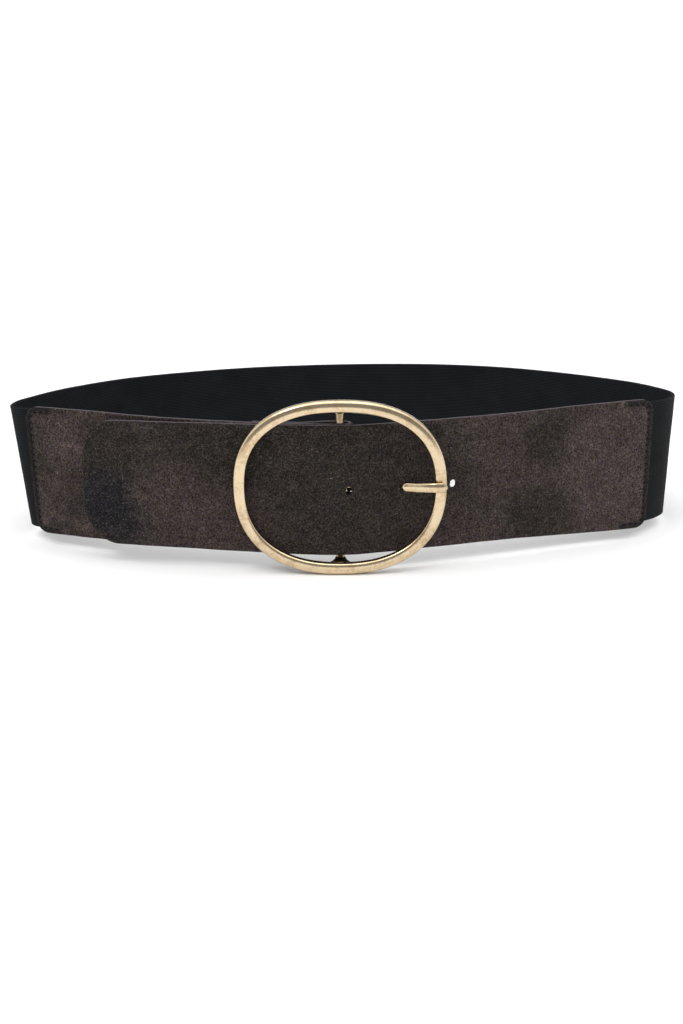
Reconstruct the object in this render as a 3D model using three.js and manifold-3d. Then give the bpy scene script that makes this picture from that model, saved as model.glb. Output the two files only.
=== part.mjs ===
// Elastic stretch belt, fastened in a loop and standing on its lower edge.
// Two suede-look panels are sewn to a wide black elastic band. The left panel turns round the
// bar of an oval ring buckle. The right panel runs on as the strap, passes through the ring and
// over the bar, and its middle hole sits on the prong.
// Millimetres, +Z up, the buckle faces -Y, +X is the wearer's left. Everything is built with the
// loop's lower edge level, then leaned back until the ring and the back of the loop both rest.
import * as THREE from "three";
import { mergeVertices } from "three/addons/utils/BufferGeometryUtils.js";
import Module from "manifold-3d";

const wasm = await Module();
wasm.setup();

// The loop
const loopWidth = 320;
const loopDepth = 136;
const layerGap = 0.3;

// The elastic band
const elasticWidth = 60;
const elasticThickness = 1.4;
const seamOverlap = 18;

// The suede-look panels
const panelThickness = 2;
const strapWidth = 60.8;
const tipWidth = 59.4;
const leftEndWidth = 63;
const rightEndWidth = 64;
const leftReach = 151;
const rightReach = 153.2;
const wideningLength = 95;
const turnBackLength = 40;
const endCorner = 6;
const foldNose = 1.7;

// The strap's free end and its holes
const tipReach = 121.2;
const tipLength = 16;
const tipTopRound = 24;
const tipBottomRound = 20;
const holeDiameter = 3.8;
const holePitch = 24.6;
const firstHoleReach = 3.1;
const holeDrop = 0.8;
const holeCount = 3;
const prongHole = 1;

// The oval ring with its bar
const ringWidth = 97;
const ringHeight = 82;
const ringPower = 2.27;
const ringArch = 3.5;
const ringRise = 1;
const ringStand = 0.5;
const rimWidth = 5.1;
const rimDepth = 3.6;
const rimBevel = 1.3;
const rimCrown = 0.35;
const rimBackRound = 0.6;
const barDiameter = 3.5;
const footWidth = 11;
const footFlare = 2.8;

// The prong
const prongWidth = 4;
const prongThickness = 2.6;
const prongEye = 1.5;
const prongEyeHeight = 6;
const prongPastRim = 0.5;
const holeEase = 0.4;

// How much of the band's lower edge is pressed flat where the back rests
const restFlat = 0.15;

// Plan of the loop along the panels' inner face, from beyond the strap's tip, over the buckle,
// round the right side, the back and the left side, and back in front to the bar.
// across: share of the loop's width, back: share of its depth, behind: layers of panel that the
// row lies behind the strap, lean: share of the band's width by which the top edge leans out.
const loopRows = [
  { across: -0.422, back: 0.181, behind: 0, lean: 0 },
  { across: -0.376, back: 0.141, behind: 0, lean: 0 },
  { across: -0.295, back: 0.094, behind: 0, lean: 0 },
  { across: -0.206, back: 0.062, behind: 0, lean: 0 },
  { across: -0.112, back: 0.034, behind: 0, lean: 0 },
  { across: -0.044, back: 0.019, behind: 0, lean: 0 },
  { across: 0.012, back: 0.015, behind: 0, lean: 0 },
  { across: 0.069, back: 0.041, behind: 0, lean: 0 },
  { across: 0.131, back: 0.076, behind: 0, lean: 0 },
  { across: 0.200, back: 0.119, behind: 0, lean: 0 },
  { across: 0.272, back: 0.170, behind: 0, lean: 0 },
  { across: 0.344, back: 0.221, behind: 0, lean: 0 },
  { across: 0.406, back: 0.265, behind: 0, lean: 0 },
  { across: 0.461, back: 0.312, behind: 0, lean: 0.01 },
  { across: 0.489, back: 0.363, behind: 0, lean: 0.03 },
  { across: 0.503, back: 0.415, behind: 0, lean: 0.035 },
  { across: 0.505, back: 0.474, behind: 0, lean: 0.03 },
  { across: 0.492, back: 0.544, behind: 0, lean: 0.02 },
  { across: 0.467, back: 0.626, behind: 0, lean: 0.01 },
  { across: 0.419, back: 0.726, behind: 0, lean: 0 },
  { across: 0.347, back: 0.837, behind: 0, lean: 0 },
  { across: 0.272, back: 0.923, behind: 0, lean: 0 },
  { across: 0.172, back: 0.985, behind: 0, lean: 0 },
  { across: 0.062, back: 1.002, behind: 0, lean: 0 },
  { across: -0.047, back: 0.987, behind: 0, lean: 0 },
  { across: -0.163, back: 0.937, behind: 0, lean: 0 },
  { across: -0.281, back: 0.837, behind: 0, lean: 0 },
  { across: -0.353, back: 0.748, behind: 0, lean: 0 },
  { across: -0.403, back: 0.652, behind: 0, lean: 0 },
  { across: -0.434, back: 0.570, behind: 0, lean: 0.017 },
  { across: -0.463, back: 0.455, behind: 0, lean: 0.042 },
  { across: -0.475, back: 0.367, behind: 0, lean: 0.083 },
  { across: -0.472, back: 0.307, behind: 0.5, lean: 0.1 },
  { across: -0.453, back: 0.266, behind: 1, lean: 0.05 },
  { across: -0.409, back: 0.222, behind: 1, lean: 0.025 },
  { across: -0.350, back: 0.170, behind: 1, lean: 0 },
  { across: -0.281, back: 0.116, behind: 1, lean: 0 },
  { across: -0.206, back: 0.075, behind: 1, lean: 0 },
  { across: -0.125, back: 0.039, behind: 1, lean: 0 },
  { across: -0.044, back: 0.020, behind: 1, lean: 0 },
  { across: 0, back: 0.0155, behind: 1, lean: 0 },
];

// The turned-back end of the left panel, behind its front layer: how far it stands off it, as a
// share of the opening round the bar, at shares of its own length from the bar.
const turnBackRows = [
  { along: 0, open: 1 },
  { along: 0.15, open: 0.93 },
  { along: 0.32, open: 0.4 },
  { along: 0.48, open: 0 },
  { along: 1, open: 0 },
];

// The prong's middle line where it passes through the strap. past: distance along the strap past
// the hole's middle, in half thicknesses of the prong, off: distance from the middle of the
// strap's wall, outward, as a share of what the prong needs to lie clear of the wall.
const prongHoleRows = [
  { past: -3.4, off: -1.35 },
  { past: -1.1, off: -0.97 },
  { past: 0, off: 0 },
  { past: 1.0, off: 0.97 },
];

const middle = elasticWidth / 2;
const barRadius = barDiameter / 2;
const layerStep = panelThickness + layerGap;

function smoothstep(value) {
  const t = THREE.MathUtils.clamp(value, 0, 1);
  return t * t * (3 - 2 * t);
}

// A line in plan that can be asked for its place, outward normal and lean at any distance along it
class Route {
  constructor(points) {
    this.points = points;
    this.lengths = [0];
    for (let i = 1; i < points.length; i += 1) {
      const step = Math.hypot(points[i].x - points[i - 1].x, points[i].y - points[i - 1].y);
      this.lengths.push(this.lengths[i - 1] + step);
    }
    this.length = this.lengths[points.length - 1];
  }

  at(distance) {
    let i = this.lengths.findIndex((length) => length > distance);
    if (i < 0) i = this.points.length - 1;
    i = Math.max(i, 1);
    const a = this.points[i - 1];
    const b = this.points[i];
    const run = this.lengths[i] - this.lengths[i - 1];
    const t = (distance - this.lengths[i - 1]) / run;
    const lean = THREE.MathUtils.lerp(a.z, b.z, THREE.MathUtils.clamp(t, 0, 1));
    return {
      x: a.x + (b.x - a.x) * t,
      y: a.y + (b.y - a.y) * t,
      outX: (b.y - a.y) / run,
      outY: -(b.x - a.x) / run,
      lean,
    };
  }

  offset(distance, out) {
    const place = this.at(distance);
    return new THREE.Vector2(place.x + place.outX * out, place.y + place.outY * out);
  }

  // Distances from one place to another, close together where the line turns
  stations(from, to, longest = 7, turn = THREE.MathUtils.degToRad(7)) {
    const fine = 0.4;
    const list = [from];
    let last = this.at(from);
    for (let s = from + fine; s < to - fine; s += fine) {
      const here = this.at(s);
      const cosine = THREE.MathUtils.clamp(here.outX * last.outX + here.outY * last.outY, -1, 1);
      if (Math.acos(cosine) > turn || s - list[list.length - 1] > longest) {
        list.push(s);
        last = here;
      }
    }
    list.push(to);
    return list;
  }
}

function smoothRoute(points, samples) {
  return new Route(new THREE.CatmullRomCurve3(points, false, "centripetal").getPoints(samples));
}

function toManifold(geometry) {
  const bare = geometry.clone();
  bare.deleteAttribute("normal");
  bare.deleteAttribute("uv");
  const merged = mergeVertices(bare, 1e-4);
  return new wasm.Manifold(new wasm.Mesh({
    numProp: 3,
    vertProperties: new Float32Array(merged.attributes.position.array),
    triVerts: new Uint32Array(merged.index.array),
  }));
}

function toGeometry(solid) {
  const mesh = solid.getMesh();
  const geometry = new THREE.BufferGeometry();
  geometry.setAttribute("position", new THREE.BufferAttribute(mesh.vertProperties, 3));
  geometry.setIndex(new THREE.BufferAttribute(mesh.triVerts, 1));
  geometry.computeVertexNormals();
  return geometry;
}

function mapVertices(geometry, place) {
  const position = geometry.attributes.position;
  const point = new THREE.Vector3();
  for (let i = 0; i < position.count; i += 1) {
    point.fromBufferAttribute(position, i);
    const moved = place(point);
    position.setXYZ(i, moved.x, moved.y, moved.z);
  }
  return geometry;
}

// A flat band bent along a route, from its inner to its outer offset, with its lower and upper
// edge given at each distance
function bandAlong(route, stations, inner, outer, edges) {
  const count = stations.length - 1;
  const box = new THREE.BoxGeometry(1, 1, 1, count, 1, 1);
  return mapVertices(box, (corner) => {
    const distance = stations[Math.round((corner.x + 0.5) * count)];
    const { low, high } = edges(distance);
    const place = route.at(distance);
    const z = corner.y > 0 ? high : low;
    const out = (corner.z > 0 ? outer : inner) + place.lean * (z / elasticWidth);
    return new THREE.Vector3(place.x + place.outX * out, place.y + place.outY * out, z);
  });
}

// How far a rounded corner has dropped at a distance from the band's end
function cornerDrop(distance, length, height) {
  if (distance >= length) return 0;
  const t = (length - distance) / length;
  return height * (1 - Math.sqrt(Math.max(0, 1 - t * t)));
}

// Distances near an end at which a rounded corner is cut
function cornerStations(end, length, sign) {
  return [0.03, 0.1, 0.2, 0.34, 0.52, 0.74, 1].map((share) => end + sign * length * share);
}

function sorted(distances) {
  const list = [...distances].sort((a, b) => a - b);
  return list.filter((value, i) => i === 0 || value - list[i - 1] > 0.05);
}

// The loop's route, and where the pieces start and end on it
const loopRoute = smoothRoute(
  loopRows.map((row) => new THREE.Vector3(
    row.across * loopWidth,
    row.back * loopDepth + row.behind * layerStep,
    row.lean * elasticWidth,
  )),
  900,
);
const buckleAt = loopRoute.lengths[loopRoute.points.findIndex((point) => point.x >= 0)];
const barAt = loopRoute.length;
const tipAt = buckleAt - tipReach;
const rightEndAt = buckleAt + rightReach;
const leftEndAt = barAt - leftReach;
const strapBack = loopRoute.at(buckleAt).y;
const strapFace = strapBack - panelThickness;
const barY = loopRoute.at(barAt).y + layerGap + barRadius;
const ringBack = strapFace - ringStand;
const ringMiddle = middle + ringRise;
const holeHeight = middle - holeDrop;

// The strap: the whole right panel, from its tip to its seam on the elastic
function strapEdges(distance) {
  const widening = smoothstep(1 - (rightEndAt - distance) / wideningLength);
  const narrowing = smoothstep((buckleAt - distance) / tipReach);
  const free = THREE.MathUtils.lerp(strapWidth, tipWidth, narrowing);
  const half = THREE.MathUtils.lerp(free, rightEndWidth, widening) / 2;
  const fromTip = distance - tipAt;
  const fromSeam = rightEndAt - distance;
  const seamDrop = cornerDrop(fromSeam, endCorner, endCorner);
  return {
    low: middle - half + cornerDrop(fromTip, tipLength, tipBottomRound) + seamDrop,
    high: middle + half - cornerDrop(fromTip, tipLength, tipTopRound) - seamDrop,
  };
}

function holeAt(index) {
  return buckleAt + firstHoleReach + index * holePitch;
}

function holeCutter(distance, diameter) {
  const length = panelThickness * 3;
  const place = loopRoute.at(distance);
  const centre = loopRoute.offset(distance, panelThickness / 2);
  const cutter = new THREE.CylinderGeometry(diameter / 2, diameter / 2, length, 24);
  cutter.rotateZ(Math.atan2(-place.outX, place.outY));
  cutter.translate(centre.x, centre.y, holeHeight);
  return toManifold(cutter);
}

function strap() {
  const stations = sorted([
    ...loopRoute.stations(tipAt, rightEndAt),
    ...cornerStations(tipAt, tipLength, 1),
    ...cornerStations(rightEndAt, endCorner, -1),
  ]);
  let solid = toManifold(bandAlong(loopRoute, stations, 0, panelThickness, strapEdges));
  for (let i = 0; i < holeCount; i += 1) {
    const diameter = i === prongHole ? prongWidth + 2 * holeEase : holeDiameter;
    solid = solid.subtract(holeCutter(holeAt(i), diameter));
  }
  return toGeometry(solid);
}

// The left panel: front layer, turn round the bar, and the turned-back end behind it
function turnBackOpen(share) {
  const next = Math.max(1, turnBackRows.findIndex((row) => row.along >= share));
  const a = turnBackRows[next - 1];
  const b = turnBackRows[next];
  const t = smoothstep((share - a.along) / (b.along - a.along));
  return THREE.MathUtils.lerp(a.open, b.open, t);
}

function buckleRoute() {
  const opening = 2 * (layerGap + barRadius);
  const points = [];
  const frontSteps = 260;
  for (let i = 0; i <= frontSteps; i += 1) {
    const place = loopRoute.at(leftEndAt + (leftReach * i) / frontSteps);
    points.push(new THREE.Vector3(place.x, place.y, place.lean));
  }
  const turnSteps = 24;
  for (let i = 0; i <= turnSteps; i += 1) {
    const angle = -Math.PI / 2 + (Math.PI * i) / turnSteps;
    points.push(new THREE.Vector3(
      foldNose + Math.cos(angle) * opening / 2,
      barY + Math.sin(angle) * opening / 2,
      0,
    ));
  }
  const backSteps = 50;
  for (let i = 0; i <= backSteps; i += 1) {
    const share = i / backSteps;
    const out = THREE.MathUtils.lerp(layerGap, opening, turnBackOpen(share));
    const place = loopRoute.offset(barAt - share * turnBackLength, -out);
    points.push(new THREE.Vector3(place.x, place.y, 0));
  }
  return new Route(points);
}

function leftPanel() {
  const route = buckleRoute();
  function edges(distance) {
    const widening = smoothstep(1 - distance / wideningLength);
    const half = THREE.MathUtils.lerp(strapWidth, leftEndWidth, widening) / 2;
    const drop = cornerDrop(distance, endCorner, endCorner);
    return { low: middle - half + drop, high: middle + half - drop };
  }
  const stations = sorted([
    ...route.stations(0, route.length),
    ...cornerStations(0, endCorner, 1),
  ]);
  const band = toManifold(bandAlong(route, stations, 0, panelThickness, edges));
  const eyeRadius = barRadius + layerGap + prongEye;
  const slotLength = foldNose + eyeRadius + layerGap + panelThickness * 4;
  const slot = new THREE.BoxGeometry(slotLength, loopDepth / 4, prongEyeHeight + 2 * layerGap);
  slot.translate(slotLength / 2 - eyeRadius - layerGap, barY, holeHeight);
  return toGeometry(band.subtract(toManifold(slot)));
}

// The elastic band, sewn behind the ends of both panels
function elasticBand(floorCutter) {
  const from = rightEndAt - seamOverlap;
  const to = leftEndAt + seamOverlap;
  const inner = -layerGap - elasticThickness;
  const edges = () => ({ low: 0, high: elasticWidth });
  const band = bandAlong(loopRoute, loopRoute.stations(from, to), inner, -layerGap, edges);
  return toGeometry(toManifold(band).subtract(floorCutter));
}

// The ring's rim: a section with a crowned face, two bevels and eased back edges, carried round
// a rounded oval and arched to follow the strap
function ringRim() {
  const half = rimWidth / 2;
  const carrier = ringWidth;
  const section = [
    [half, -rimDepth + rimBevel],
    [half, -rimBackRound],
    [half - rimBackRound, 0],
    [-half + rimBackRound, 0],
    [-half, -rimBackRound],
    [-half, -rimDepth + rimBevel],
    [-half + rimBevel * 0.35, -rimDepth + rimCrown + rimBevel * 0.35],
    [-half + rimBevel, -rimDepth + rimCrown],
    [-half * 0.3, -rimDepth],
    [half * 0.3, -rimDepth],
    [half - rimBevel, -rimDepth + rimCrown],
    [half - rimBevel * 0.35, -rimDepth + rimCrown + rimBevel * 0.35],
    [half, -rimDepth + rimBevel],
  ].map(([out, depth]) => new THREE.Vector2(carrier + out, depth));
  const halfAcross = (ringWidth - rimWidth) / 2;
  const halfUp = (ringHeight - rimWidth) / 2;
  const bend = 2 / ringPower;
  return mapVertices(new THREE.LatheGeometry(section, 112), (corner) => {
    const radius = Math.hypot(corner.x, corner.z);
    const across = corner.x / radius;
    const up = corner.z / radius;
    const x = halfAcross * Math.sign(across) * Math.abs(across) ** bend;
    const z = halfUp * Math.sign(up) * Math.abs(up) ** bend;
    const normal = new THREE.Vector2(
      Math.sign(x) * Math.abs(x / halfAcross) ** (ringPower - 1) / halfAcross,
      Math.sign(z) * Math.abs(z / halfUp) ** (ringPower - 1) / halfUp,
    ).normalize();
    const out = radius - carrier;
    const arch = ringArch * ((x + normal.x * out) / (ringWidth / 2)) ** 2;
    return new THREE.Vector3(
      x + normal.x * out,
      ringBack + corner.y + arch,
      ringMiddle + z + normal.y * out,
    );
  });
}

// A flared foot that joins the bar to the rim, above (side 1) or below (side -1)
function barFoot(side) {
  const rimInner = ringHeight / 2 - rimWidth;
  const rimCentre = ringHeight / 2 - rimWidth / 2;
  const outline = new THREE.Shape();
  outline.moveTo(-footWidth / 2, rimCentre);
  outline.lineTo(-footWidth / 2, rimInner);
  outline.quadraticCurveTo(-barRadius, rimInner, -barRadius, rimInner - footFlare);
  outline.lineTo(barRadius, rimInner - footFlare);
  outline.quadraticCurveTo(barRadius, rimInner, footWidth / 2, rimInner);
  outline.lineTo(footWidth / 2, rimCentre);
  const front = ringBack - rimDepth / 2;
  const depth = barY + barRadius * 0.6 - front;
  const foot = new THREE.ExtrudeGeometry(outline, { depth, bevelEnabled: false, curveSegments: 6 });
  foot.rotateX(Math.PI / 2);
  if (side < 0) foot.rotateY(Math.PI);
  foot.translate(0, front + depth, 0);
  if (side > 0) foot.rotateY(Math.PI);
  foot.translate(0, 0, ringMiddle);
  return toManifold(foot);
}

function buckleFrame() {
  const barLength = ringHeight - rimWidth;
  const bar = new THREE.CylinderGeometry(barRadius, barRadius, barLength, 20);
  bar.rotateX(Math.PI / 2);
  bar.translate(0, barY, ringMiddle);
  const solid = toManifold(ringRim()).add(toManifold(bar)).add(barFoot(1)).add(barFoot(-1));
  return toGeometry(solid);
}

// The prong: an eye round the bar, a shank behind the strap, up through the middle hole and over
// the rim
function prong() {
  const eyeRadius = barRadius + layerGap + prongEye;
  const eye = new THREE.CylinderGeometry(eyeRadius, eyeRadius, prongEyeHeight, 28);
  const bore = new THREE.CylinderGeometry(
    barRadius + layerGap, barRadius + layerGap, prongEyeHeight * 2, 28,
  );
  for (const round of [eye, bore]) {
    round.rotateX(Math.PI / 2);
    round.translate(0, barY, holeHeight);
  }
  const hole = holeAt(prongHole);
  const holeX = loopRoute.at(hole).x;
  const wallMiddle = panelThickness / 2;
  const clear = wallMiddle + layerGap + prongThickness / 2;
  const start = barRadius + layerGap + prongEye / 2;
  const points = [
    new THREE.Vector2(start, barY),
    new THREE.Vector2(start + prongThickness, barY),
  ];
  for (const row of prongHoleRows) {
    const distance = hole + row.past * prongThickness / 2;
    points.push(loopRoute.offset(distance, wallMiddle + row.off * clear));
  }
  const rimX = (ringWidth - rimWidth) / 2;
  const rimY = ringBack - rimDepth + ringArch * (rimX / (ringWidth / 2)) ** 2;
  const restY = rimY - layerGap - prongThickness / 2;
  points.push(new THREE.Vector2(rimX - rimWidth * 0.6, restY));
  points.push(new THREE.Vector2(ringWidth / 2 + prongPastRim, restY));
  const line = points.map((point) => new THREE.Vector3(point.x, point.y, 0));
  const route = smoothRoute(line, 240);
  const stations = sorted([
    ...route.stations(0, route.length, 5),
    ...[0.15, 0.5, 1].map((share) => route.length - share * prongThickness),
  ]);
  const count = stations.length - 1;
  const rod = new THREE.CylinderGeometry(1, 1, 1, 16, count);
  mapVertices(rod, (corner) => {
    const distance = stations[Math.round((corner.y + 0.5) * count)];
    const place = route.at(distance);
    const left = (route.length - distance) / prongThickness;
    const tip = left < 1 ? Math.sqrt(1 - (1 - left) ** 2) * 0.7 + 0.3 : 1;
    const out = corner.x * tip * prongThickness / 2;
    const rise = smoothstep((place.x - holeX) / (rimX - holeX));
    return new THREE.Vector3(
      place.x + place.outX * out,
      place.y + place.outY * out,
      THREE.MathUtils.lerp(holeHeight, ringMiddle, rise) + corner.z * tip * prongWidth / 2,
    );
  });
  const shank = toManifold(rod);
  return toGeometry(toManifold(eye).add(shank).subtract(toManifold(bore)));
}

// The resting plane: the ring's lower rim and the back of the band both reach it
const ringFootY = ringBack - rimBackRound;
const ringFootZ = ringMiddle - ringHeight / 2;
const backY = Math.max(...loopRoute.points.map((point) => point.y)) - layerGap;
const tilt = Math.atan2(restFlat - ringFootZ, backY - ringFootY);

function floorCutter() {
  const depth = restFlat * 40;
  const slab = new THREE.BoxGeometry(loopWidth * 2, loopDepth * 3, depth);
  slab.translate(0, 0, -depth / 2);
  slab.rotateX(tilt);
  slab.translate(0, ringFootY, ringFootZ);
  return toManifold(slab);
}

const suede = new THREE.MeshStandardMaterial({ color: 0x3b312e, roughness: 0.95, metalness: 0.05 });
const elastic = new THREE.MeshStandardMaterial({ color: 0x141416, roughness: 0.8, metalness: 0 });
const gold = new THREE.MeshStandardMaterial({ color: 0xd9bc8c, roughness: 0.3, metalness: 1 });

function piece(name, geometry, material) {
  const mesh = new THREE.Mesh(geometry, material);
  mesh.name = name;
  return mesh;
}

const belt = new THREE.Group();
belt.add(
  piece("strap_panel", strap(), suede),
  piece("buckle_panel", leftPanel(), suede),
  piece("elastic_band", elasticBand(floorCutter()), elastic),
  piece("buckle_frame", buckleFrame(), gold),
  piece("prong", prong(), gold),
);

// Lean the belt back on its ring and put the origin under the middle of its box
belt.rotation.x = -tilt;
belt.updateMatrixWorld(true);
const box = new THREE.Box3().setFromObject(belt, true);
const centre = box.getCenter(new THREE.Vector3());
belt.position.set(-centre.x, -centre.y, -box.min.z);
belt.updateMatrixWorld(true);

export default belt;
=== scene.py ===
"""Elastic stretch belt: two suede-look panels on a wide elastic band, closed by an oval ring buckle.

The belt stands on its lower edge in a loop, leaning back a little on the ring's rim. Each piece is
made flat, with x along the belt, y outward through the sheet and z up, and is then bent along the
belt's route. Sizes are real ones, in metres by way of MM.
"""

from __future__ import annotations

import bisect
import logging
import math
from collections.abc import Callable, Sequence
from dataclasses import dataclass
from enum import Enum

import bmesh
import bpy
from mathutils import Matrix, Vector, kdtree, noise


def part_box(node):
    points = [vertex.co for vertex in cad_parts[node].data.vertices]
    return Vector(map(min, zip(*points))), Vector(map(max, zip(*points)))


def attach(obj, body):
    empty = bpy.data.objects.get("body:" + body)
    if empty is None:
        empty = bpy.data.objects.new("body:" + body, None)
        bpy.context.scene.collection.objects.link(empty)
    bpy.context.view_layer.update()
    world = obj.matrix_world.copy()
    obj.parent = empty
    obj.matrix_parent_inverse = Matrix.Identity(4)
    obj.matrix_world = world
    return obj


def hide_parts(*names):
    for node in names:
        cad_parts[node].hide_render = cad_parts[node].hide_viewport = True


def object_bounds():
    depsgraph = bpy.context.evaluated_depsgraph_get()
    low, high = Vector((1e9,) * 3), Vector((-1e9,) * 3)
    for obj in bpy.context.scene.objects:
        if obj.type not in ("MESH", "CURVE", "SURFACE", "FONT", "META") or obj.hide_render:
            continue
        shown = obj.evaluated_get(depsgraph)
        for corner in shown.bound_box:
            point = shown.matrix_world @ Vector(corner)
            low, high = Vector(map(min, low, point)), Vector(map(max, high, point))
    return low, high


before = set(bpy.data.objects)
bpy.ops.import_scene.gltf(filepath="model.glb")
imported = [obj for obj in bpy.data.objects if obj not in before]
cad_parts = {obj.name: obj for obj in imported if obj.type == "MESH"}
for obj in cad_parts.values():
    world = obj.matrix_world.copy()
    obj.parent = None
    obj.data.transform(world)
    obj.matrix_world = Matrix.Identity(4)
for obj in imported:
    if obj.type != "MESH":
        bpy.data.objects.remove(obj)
SOLIDS_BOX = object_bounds()
BODY = "root"
MM = 0.001
# Each point's share of painted shade along the stitch lines: in the groove, with some dirt, and on the
# strip outside it.
SEAM_SHADE_MARK = "seam_painted_shade"

# The dressed prong against its solid: its width, its eye's height, and how much of its width is
# left where it comes through the strap.
PRONG_FULLNESS = 1.1
EYE_SHOWN = 0.78
PRONG_WAIST = 0.6

log = logging.getLogger("stretch_belt")


def clamp(value: float, low: float = 0.0, high: float = 1.0) -> float:
    """Keep a value between two limits."""
    return max(low, min(high, value))


def lerp(start: float, end: float, share: float) -> float:
    """Go a share of the way from start to end."""
    return start + (end - start) * share


def smoothstep(value: float) -> float:
    """Ease from 0 to 1 with level ends."""
    t = clamp(value)
    return t * t * (3 - 2 * t)


def graded(
    start: float, end: float, coarse: float, fine: float, spots: Sequence[float], near: float
) -> list[float]:
    """Divide a stretch into steps that are fine close to some spots and coarse elsewhere.

    Args:
        start: Where the stretch starts.
        end: Where it ends.
        coarse: Step far from every spot.
        fine: Step close to a spot.
        spots: Places that need fine steps.
        near: How far from a spot the steps stay fine.

    Returns:
        The dividing places, the first at start and the last at end.
    """
    places = [start]
    while places[-1] < end:
        away = min(abs(places[-1] - spot) for spot in spots)
        places.append(places[-1] + lerp(fine, coarse, clamp(away / near - 1)))
    stretch = (end - start) / (places[-1] - start)
    return [start + (place - start) * stretch for place in places]


@dataclass(frozen=True)
class LoopRow:
    """One row of the loop's plan, along the panels' inner face.

    Args:
        across: Share of the loop's width, to the wearer's left of the bar.
        back: Share of the loop's depth, behind the buckle.
        behind: Layers of panel that the row lies behind the strap.
        lean: Share of the band's width by which the top edge leans out.
    """

    across: float
    back: float
    behind: float = 0.0
    lean: float = 0.0


LOOP_ROWS = (
    LoopRow(-0.422, 0.181),
    LoopRow(-0.376, 0.141),
    LoopRow(-0.295, 0.094),
    LoopRow(-0.206, 0.062),
    LoopRow(-0.112, 0.034),
    LoopRow(-0.044, 0.019),
    LoopRow(0.012, 0.015),
    LoopRow(0.069, 0.041),
    LoopRow(0.131, 0.076),
    LoopRow(0.200, 0.119),
    LoopRow(0.272, 0.170),
    LoopRow(0.344, 0.221),
    LoopRow(0.406, 0.265),
    LoopRow(0.461, 0.312, lean=0.01),
    LoopRow(0.489, 0.363, lean=0.03),
    LoopRow(0.503, 0.415, lean=0.035),
    LoopRow(0.505, 0.474, lean=0.03),
    LoopRow(0.492, 0.544, lean=0.02),
    LoopRow(0.467, 0.626, lean=0.01),
    LoopRow(0.419, 0.726),
    LoopRow(0.347, 0.837),
    LoopRow(0.272, 0.923),
    LoopRow(0.172, 0.985),
    LoopRow(0.062, 1.002),
    LoopRow(-0.047, 0.987),
    LoopRow(-0.163, 0.937),
    LoopRow(-0.281, 0.837),
    LoopRow(-0.353, 0.748),
    LoopRow(-0.403, 0.652),
    LoopRow(-0.434, 0.570, lean=0.017),
    LoopRow(-0.463, 0.455, lean=0.042),
    LoopRow(-0.475, 0.367, lean=0.083),
    LoopRow(-0.472, 0.307, behind=0.5, lean=0.1),
    LoopRow(-0.453, 0.266, behind=1, lean=0.05),
    LoopRow(-0.409, 0.222, behind=1, lean=0.025),
    LoopRow(-0.350, 0.170, behind=1),
    LoopRow(-0.281, 0.116, behind=1),
    LoopRow(-0.206, 0.075, behind=1),
    LoopRow(-0.125, 0.039, behind=1),
    LoopRow(-0.044, 0.020, behind=1),
    LoopRow(0.0, 0.0155, behind=1),
)


@dataclass(frozen=True)
class Place:
    """A place on a route: its point in plan, its outward direction and the sheet's lean there."""

    x: float
    y: float
    out_x: float
    out_y: float
    lean: float


class Route:
    """A line in plan that can be asked for its place at any distance along it."""

    def __init__(self, points: Sequence[Vector], band_width: float) -> None:
        """Measure the line and find its outward direction at each point.

        Args:
            points: Plan points, with the lean as their third number.
            band_width: Height over which the lean builds up.
        """
        self.points = list(points)
        self.band_width = band_width
        self.lengths = [0.0]
        for before, after in zip(self.points, self.points[1:]):
            self.lengths.append(self.lengths[-1] + (after.xy - before.xy).length)
        self.length = self.lengths[-1]
        self.outward: list[Vector] = []
        for i in range(len(self.points)):
            ahead = self.points[min(i + 1, len(self.points) - 1)].xy
            along = (ahead - self.points[max(i - 1, 0)].xy).normalized()
            self.outward.append(Vector((along.y, -along.x)))

    def at(self, distance: float) -> Place:
        """Find the place at a distance along the route."""
        i = int(clamp(bisect.bisect_right(self.lengths, distance), 1, len(self.points) - 1))
        share = (distance - self.lengths[i - 1]) / (self.lengths[i] - self.lengths[i - 1])
        point = self.points[i - 1].lerp(self.points[i], share)
        out = self.outward[i - 1].lerp(self.outward[i], clamp(share)).normalized()
        return Place(point.x, point.y, out.x, out.y, point.z)

    def carry(self, flat: Vector) -> Vector:
        """Bend a flat point onto the route.

        Args:
            flat: Distance along the route, offset outward from it, and height.

        Returns:
            The point with the loop's lower edge level.
        """
        place = self.at(flat.x)
        out = flat.y + place.lean * flat.z / self.band_width
        return Vector((place.x + place.out_x * out, place.y + place.out_y * out, flat.z))

    def distance_where(self, test: Callable[[Vector], bool]) -> float:
        """Give the length up to the first point that passes a test."""
        return next(self.lengths[i] for i, point in enumerate(self.points) if test(point))


def smooth_line(points: Sequence[Vector], samples: int) -> list[Vector]:
    """Run a centripetal Catmull-Rom line through some points.

    Args:
        points: The points that the line passes through.
        samples: Number of steps along it, shared evenly between the points.

    Returns:
        The points of the line.
    """
    ends = [points[0] * 2 - points[1], *points, points[-1] * 2 - points[-2]]
    line = []
    for step in range(samples + 1):
        whole = step / samples * (len(points) - 1)
        i = min(int(whole), len(points) - 2)
        t = whole - i
        p0, p1, p2, p3 = ends[i : i + 4]
        d0, d1, d2 = ((b - a).length ** 0.5 for a, b in ((p0, p1), (p1, p2), (p2, p3)))
        leave = ((p1 - p0) / d0 - (p2 - p0) / (d0 + d1) + (p2 - p1) / d1) * d1
        arrive = ((p2 - p1) / d1 - (p3 - p1) / (d1 + d2) + (p3 - p2) / d2) * d1
        square = (p2 - p1) * 3 - leave * 2 - arrive
        cube = (p1 - p2) * 2 + leave + arrive
        line.append(p1 + leave * t + square * t * t + cube * t * t * t)
    return line


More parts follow.
